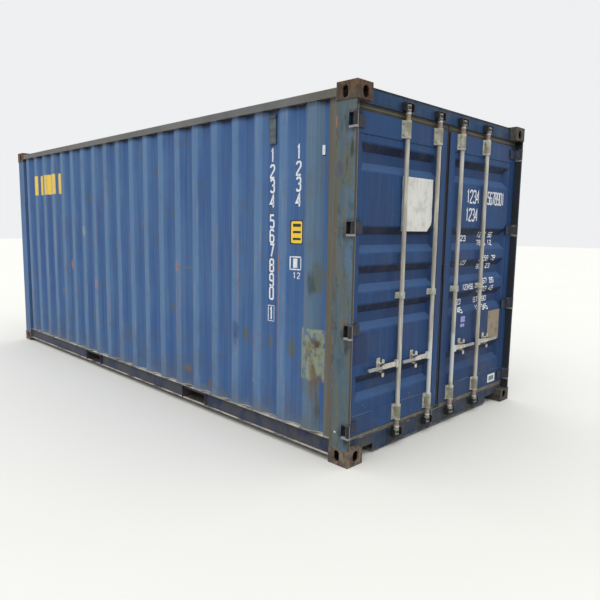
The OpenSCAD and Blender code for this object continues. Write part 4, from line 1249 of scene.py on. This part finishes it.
def built(frame, name, mesh):
    """Turns a finished bmesh into the piece that stands for a CAD node, with the node's material."""
    material = frame["nodes"][name].material_slots[0].material
    stand_in(frame, name, mesh_data(f"{name}_form", mesh, material))


def slab(mesh, outline, start, depth):
    """A closed solid: an outline of X and Z places, in order, made thick along Y."""
    rings = [[mesh.verts.new((x, y, z)) for x, z in outline] for y in (start, start + depth)]
    mesh.faces.new(rings[0][::-1])
    mesh.faces.new(rings[1])
    bridge(mesh, rings)


def oblong(a0, a1, b0, b1):
    return [(a0, b0), (a1, b0), (a1, b1), (a0, b1)]


def is_near(value, place, reach=0.001):
    return abs(value - place) < reach


def rescaled(z, old, new, share):
    """A height measured from new instead of old, with distances from it times share."""
    return new + (z - old) * share


# Places of the CAD solids that the rules below start from
CAD_TOP_RAIL = 2.523
CAD_WALL_TOP = 2.5
CAD_STRIP = (-2.810, 0.018)
CAD_HINGE_ZS = (0.256, 0.9497, 1.6433, 2.337)
CAD_HINGE_HALF = 0.07
CAD_POCKET_END = 1.164
CAD_CUT_X = 0.907
CAD_CUT_TOP = 0.095
CAD_LOW_CAM = 0.062
CAD_TOP_CAM = 2.490

ROOF_FALL = 0.022
TOP_RAIL_SHARE = 56 / 60
PLATE_Y = 2.9
REAR_PLATE_END = -2.870
FRONT_PLATE_END = 3.012
STRIP_SHIFT = 0.034


def lowered_top(frame):
    """Top rails, roof and the walls' tops at the heights they have below the castings' tops."""

    def rail(x, y, z):
        return x, y, rescaled(z, CAD_TOP_RAIL, TOP_RAIL, TOP_RAIL_SHARE)

    def plate(x, y, z):
        if abs(y) > PLATE_Y:
            y = REAR_PLATE_END if y < 0 else FRONT_PLATE_END
        return x, y, z - ROOF_FALL

    def wall(x, y, z):
        if is_near(y, *CAD_STRIP):
            y += STRIP_SHIFT
        return x, y, z - (CAD_TOP_RAIL - TOP_RAIL) if z > CAD_WALL_TOP else z

    reshaped(frame, rail, "top_side_rails", "front_header")
    reshaped(frame, lambda x, y, z: (x, y, z - ROOF_FALL), "roof_panel")
    reshaped(frame, plate, "roof_end_plates")
    reshaped(frame, wall, "left_side_wall", "right_side_wall", "front_wall")


POCKET_YS = (-1.170, 0.880)
POCKET_HALF = 0.180
POCKET_TOP = 0.134
RAIL_X = 1.217
RAIL_WEB = 0.024
RAIL_LOW = 0.045
RAIL_T = 0.0045
RAIL_FLANGE = 0.052
GUSSET_T = 0.005
WEB_OUT = RAIL_X - RAIL_WEB
WEB_IN = WEB_OUT - RAIL_T


def bottom_rails(frame):
    """Bottom side rails open to the outside, with webs set back and gussets beside the fork pockets."""
    mesh = bmesh.new()
    low, high = RAIL_LOW + RAIL_T, RAIL_TOP - RAIL_T
    for s in (-1, 1):
        slab(mesh, oblong(s * RAIL_X, s * (RAIL_X - RAIL_FLANGE), high, RAIL_TOP), -SIDE_Y, 2 * SIDE_Y)
        slab(mesh, oblong(s * RAIL_X, s * WEB_IN, RAIL_LOW, low), -SIDE_Y, 2 * SIDE_Y)
        ends = [-SIDE_Y]
        for y in POCKET_YS:
            start, end = y - POCKET_HALF, y + POCKET_HALF
            ends += [start, end]
            slab(mesh, oblong(s * WEB_OUT, s * WEB_IN, POCKET_TOP, high), start, 2 * POCKET_HALF)
            for gusset in (start - GUSSET_T, end):
                slab(mesh, oblong(s * WEB_OUT, s * (RAIL_X - 0.001), low, high), gusset, GUSSET_T)
        ends.append(SIDE_Y)
        for y0, y1 in zip(ends[::2], ends[1::2]):
            slab(mesh, oblong(s * WEB_OUT, s * WEB_IN, low, high), y0, y1 - y0)
    built(frame, "bottom_side_rails", mesh)


MEMBER_FOOT = 0.03
MEMBER_RISE = 0.0255
POCKET_FOOT = 0.02
POCKET_RISE = 0.030
CUT_X = 0.862
CUT_TOP = 0.075
SILL_UPPER = 0.16
DOOR_SILL_FALL = 0.015


def raised_underframe(frame):
    """Cross members and fork pockets between the rails' webs, no lower than the rails, and the sills."""

    def member(x, y, z):
        return math.copysign(min(abs(x), WEB_IN), x), y, z + MEMBER_RISE if z < MEMBER_FOOT else z

    def pocket(x, y, z):
        if is_near(abs(x), CAD_POCKET_END):
            x = math.copysign(WEB_IN, x)
        return math.copysign(min(abs(x), WEB_IN), x), y, z + POCKET_RISE if z < POCKET_FOOT else z

    def sill(x, y, z, fall=0.0):
        if is_near(abs(x), CAD_CUT_X):
            x = math.copysign(CUT_X, x)
        if is_near(z, CAD_CUT_TOP):
            z = CUT_TOP
        return x, y, z - fall if z > SILL_UPPER else z

    reshaped(frame, member, "cross_members")
    reshaped(frame, pocket, "fork_pockets")
    reshaped(frame, sill, "front_sill")
    reshaped(frame, lambda x, y, z: sill(x, y, z, DOOR_SILL_FALL), "door_sill")


# Parts of the doors' leaves and seals near their gap, foot and head, and how far these move
GAP_SIDE = 0.2
GAP_SHIFT = 0.008
FOOT_DROP = 0.015
HEAD_FALL = 0.014
LEAF_FOOT, LEAF_HEAD = 0.36, 2.28
SEAL_FOOT, SEAL_HEAD = 0.21, (2.43, 2.44)
# Where the seals' points beside the gap go, by how far from the middle they start
SEAL_LIPS = ((0.008, 0.004), (0.02, 0.018))


def longer_doors(frame):
    """Door leaves that reach lower and leave more room above and between them, with their seals."""

    def leaf(x, y, z):
        if abs(x) < GAP_SIDE:
            x += math.copysign(GAP_SHIFT, x)
        return x, y, z - (FOOT_DROP if z < LEAF_FOOT else HEAD_FALL if z > LEAF_HEAD else 0)

    def seal(x, y, z):
        x = next((math.copysign(lip, x) for limit, lip in SEAL_LIPS if abs(x) < limit), x)
        low, high = SEAL_HEAD
        return x, y, z - (FOOT_DROP if z < SEAL_FOOT else HEAD_FALL if low < z < high else 0)

    for door in ("left", "right"):
        reshaped(frame, leaf, f"{door}_door_frame", f"{door}_door_panel")
        reshaped(frame, seal, f"{door}_door_seal")


def moved_hinges(frame):
    """Hinges and their notches in the posts at their own heights."""

    def hinge(x, y, z):
        shifts = (new - old for old, new in zip(CAD_HINGE_ZS, HINGE_ZS) if is_near(z, old, CAD_HINGE_HALF))
        return x, y, z + next(shifts, 0)

    blades = ("left_hinge_blades", "right_hinge_blades")
    reshaped(frame, hinge, "rear_corner_posts", "hinge_lugs", "hinge_pins", *blades)


LOW_CAM = 0.088
TOP_CAM = 2.484
CAM_SHARE = 0.042 / 0.048
CAM_LEVELS = (0.115, 2.485)
KEEPER_SHARE = 0.8
LOW_KEEPER = (0.048, 0.074)
TOP_KEEPER = (2.482, 2.484)
COLLAR_ZS = (0.140, 2.460)
COLLAR_HEIGHT = 0.014
COLLAR_INNER = 0.0165
COLLAR_OUTER = 0.020
COLLAR_EDGE = 0.002
COLLAR_PARTS = 28


def bars_and_keepers(frame):
    """Shorter bars with collars beside their cams, and keepers at the cams' heights."""

    def bar(x, y, z):
        if z < CAM_LEVELS[0]:
            z = rescaled(z, CAD_LOW_CAM, LOW_CAM, CAM_SHARE)
        elif z > CAM_LEVELS[1]:
            z = rescaled(z, CAD_TOP_CAM, TOP_CAM, CAM_SHARE)
        return x, y, z

    reshaped(frame, lambda x, y, z: (x, y, rescaled(z, *LOW_KEEPER, KEEPER_SHARE)), "bottom_cam_keepers")
    reshaped(frame, lambda x, y, z: (x, y, rescaled(z, *TOP_KEEPER, KEEPER_SHARE)), "top_cam_keepers")
    for k, x in enumerate(BAR_XS, 1):
        reshaped(frame, bar, f"lock_bar_{k}")
        mesh = bmesh.new()
        for z in COLLAR_ZS:
            collar(mesh, x, z)
        material = frame["nodes"][f"lock_bar_{k}"].material_slots[0].material
        add_piece(f"lock_bar_{k}_collars", mesh, f"bar_{k}", material)


def collar(mesh, x, low):
    """A ring round a bar with softened edges."""
    outer, edge, top = COLLAR_OUTER, COLLAR_EDGE, COLLAR_HEIGHT
    profile = (
        (COLLAR_INNER, 0.0),
        (outer - edge, 0.0),
        (outer, edge),
        (outer, top - edge),
        (outer - edge, top),
        (COLLAR_INNER, top),
    )
    across, along = Vector((1, 0, 0)), Vector((0, 1, 0))
    rings = [circle(mesh, Vector((x, BAR_Y, low + z)), across, along, r, COLLAR_PARTS) for r, z in profile]
    bridge(mesh, rings + rings[:1])


HANDLE_Z = 0.645
HANDLE_HALF = 0.017
HANDLE_T = 0.012
GRIP_HALF = 0.011
GRIP_DROP = 0.004


def handles(frame):
    """Handles that are deep from the hub to the catch and slim at the grip."""
    h, g, d = HANDLE_HALF, GRIP_HALF, GRIP_DROP
    line = [
        (0.019, -h),
        (0.019, h),
        (0.180, h),
        (0.205, g - d),
        (0.3645, g - d),
        (0.370, g / 2 - d),
        (0.370, -g / 2 - d),
        (0.3645, -g - d),
        (0.205, -g - d),
        (0.180, -h),
    ]
    for k, x in enumerate(BAR_XS, 1):
        mesh = bmesh.new()
        side = math.copysign(1, x)
        slab(mesh, [(x + side * t, HANDLE_Z + z) for t, z in line], BAR_Y - HANDLE_T / 2, HANDLE_T)
        built(frame, f"bar_handle_{k}", mesh)


# How far the catches stand from the bars along the left and right doors
CATCH_DOORS = (("left", BAR_XS[:2], 0.225), ("right", BAR_XS[2:], 0.150))
CATCH_GAP = HANDLE_HALF + 0.007
CATCH_LUG = 0.010
CATCH_HALF = 0.013
CATCH_TOP = 0.067
CATCH_REACH = 0.049
CATCH_PLATE_HALF = 0.020
CATCH_PLATE_T = 0.003
EAR_T = 0.006


def catches(frame):
    """Handle catches: a back plate and two lugs that end in rounded ears."""
    gap, lug, half, top = CATCH_GAP, CATCH_LUG, CATCH_HALF, CATCH_TOP
    wide = CATCH_PLATE_HALF
    arc = [math.pi * k / 12 for k in range(13)]
    for door, xs, distance in CATCH_DOORS:
        mesh = bmesh.new()
        for x in xs:
            middle = x + math.copysign(distance, x)
            plate = oblong(middle - wide, middle + wide, HANDLE_Z - gap - lug, HANDLE_Z + top)
            slab(mesh, plate, PANEL_Y - CATCH_PLATE_T, CATCH_PLATE_T)
            for s in (-1, 1):
                arm = oblong(middle - half, middle + half, HANDLE_Z + s * gap, HANDLE_Z + s * (gap + lug))
                slab(mesh, arm, PANEL_Y - CATCH_REACH, CATCH_REACH)
                tip = HANDLE_Z + s * (top - half)
                ear = [(middle + half * math.cos(a), tip + s * half * math.sin(a)) for a in arc]
                slab(mesh, arm[:2] + ear, PANEL_Y - CATCH_REACH, EAR_T)
        built(frame, f"{door}_handle_catches", mesh)


VENT_Y = RIB_FIRST_Y + 1.5 * RIB_PITCH
VENT_HALF = 0.034
VENT_ZS = (2.260, 2.444, 2.468)
VENT_DEPTH = 0.015
HOOD_DEPTH = 0.020


def ventilators(frame):
    """Plain covers with a sloping hood along the top."""
    mesh = bmesh.new()
    seat = WALL_X - WALL_DEPTH
    low, middle, top = VENT_ZS
    for s in (-1, 1):
        back, face, brim = s * seat, s * (seat + VENT_DEPTH), s * (seat + HOOD_DEPTH)
        slab(mesh, oblong(back, face, low, middle), VENT_Y - VENT_HALF, 2 * VENT_HALF)
        hood = [(back, middle), (brim, middle), (face, top), (back, top)]
        slab(mesh, hood, VENT_Y - VENT_HALF, 2 * VENT_HALF)
    built(frame, "side_ventilators", mesh)


# Studio

# Strength of the soft light from the horizon and from straight above
HORIZON_LIGHT = 0.65
ZENITH_LIGHT = 1.85
SKY_COLOUR = (0.95, 0.97, 1.0, 1)
BACKDROP_COLOUR = (0.86, 0.87, 0.88, 1)
CAMERA_AT = (-4.0882, -5.4260, 1.6495)
CAMERA_FORWARD = (0.69979, 0.70288, -0.12747)
CAMERA_RIGHT = (0.71002, -0.70400, 0.01598)


def point_camera():
    data = bpy.data.cameras.new("camera")
    camera = add_object("camera", data)
    forward, right = Vector(CAMERA_FORWARD).normalized(), Vector(CAMERA_RIGHT)
    right = (right - forward * right.dot(forward)).normalized()
    camera.location = CAMERA_AT
    camera.rotation_mode = "QUATERNION"
    camera.rotation_quaternion = Matrix((right, right.cross(forward), -forward)).transposed().to_quaternion()
    data.lens = 33.99
    data.sensor_width = 36
    data.clip_end = 200
    bpy.context.scene.camera = camera


def light_studio():
    """A soft sky that brightens upwards, a wide low sun and a plain floor."""
    world = bpy.data.worlds.new("studio")
    bpy.context.scene.world = world
    n = Nodes("studio", world)
    limits = {"To Min": HORIZON_LIGHT, "To Max": ZENITH_LIGHT}
    strength = n.add("ShaderNodeMapRange", {"Value": n.z, **limits}).outputs[0]
    sky = n.add("ShaderNodeBackground", {"Color": SKY_COLOUR, "Strength": strength}).outputs[0]
    backdrop = n.add("ShaderNodeBackground", {"Color": BACKDROP_COLOUR}).outputs[0]
    both = n.add("ShaderNodeMixShader", {0: n.seen(), 1: sky, 2: backdrop}).outputs[0]
    n.add("ShaderNodeOutputWorld", {"Surface": both})

    sun = bpy.data.lights.new("overcast_sun", "SUN")
    sun.energy = 0.9
    sun.angle = math.radians(60)
    sun.color = (1.0, 0.985, 0.96)
    lamp = add_object("overcast_sun", sun)
    lamp.rotation_euler = Vector((1.0, 0.45, -1.25)).to_track_quat("-Z", "Y").to_euler()

    bpy.ops.mesh.primitive_circle_add(vertices=96, radius=60, fill_type="NGON", location=(0, 0, 0))
    floor = bpy.context.object
    floor.name = "studio_floor"
    n = Nodes("studio_floor")
    pale = n.mix(n.noise(0.7, detail=3), (206, 204, 198), (210, 208, 202))
    n.colour = n.mix(n.seen(), (136, 134, 130), pale)
    floor.data.materials.append(n.finish(0.9))


def main():
    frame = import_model()
    bpy.context.view_layer.update()
    materials = make_materials()
    paint_nodes(frame, materials)
    for shape in (
        lowered_top,
        bottom_rails,
        raised_underframe,
        longer_doors,
        moved_hinges,
        bars_and_keepers,
        handles,
        catches,
        ventilators,
    ):
        shape(frame)
    side_marks(frame, materials)
    right_door_marks(frame, materials)
    door_sign(materials)
    bearing_bolts(materials)
    frame_welds(materials)
    point_camera()
    light_studio()
    bpy.context.scene.view_settings.view_transform = "Standard"
    bpy.context.view_layer.update()


main()
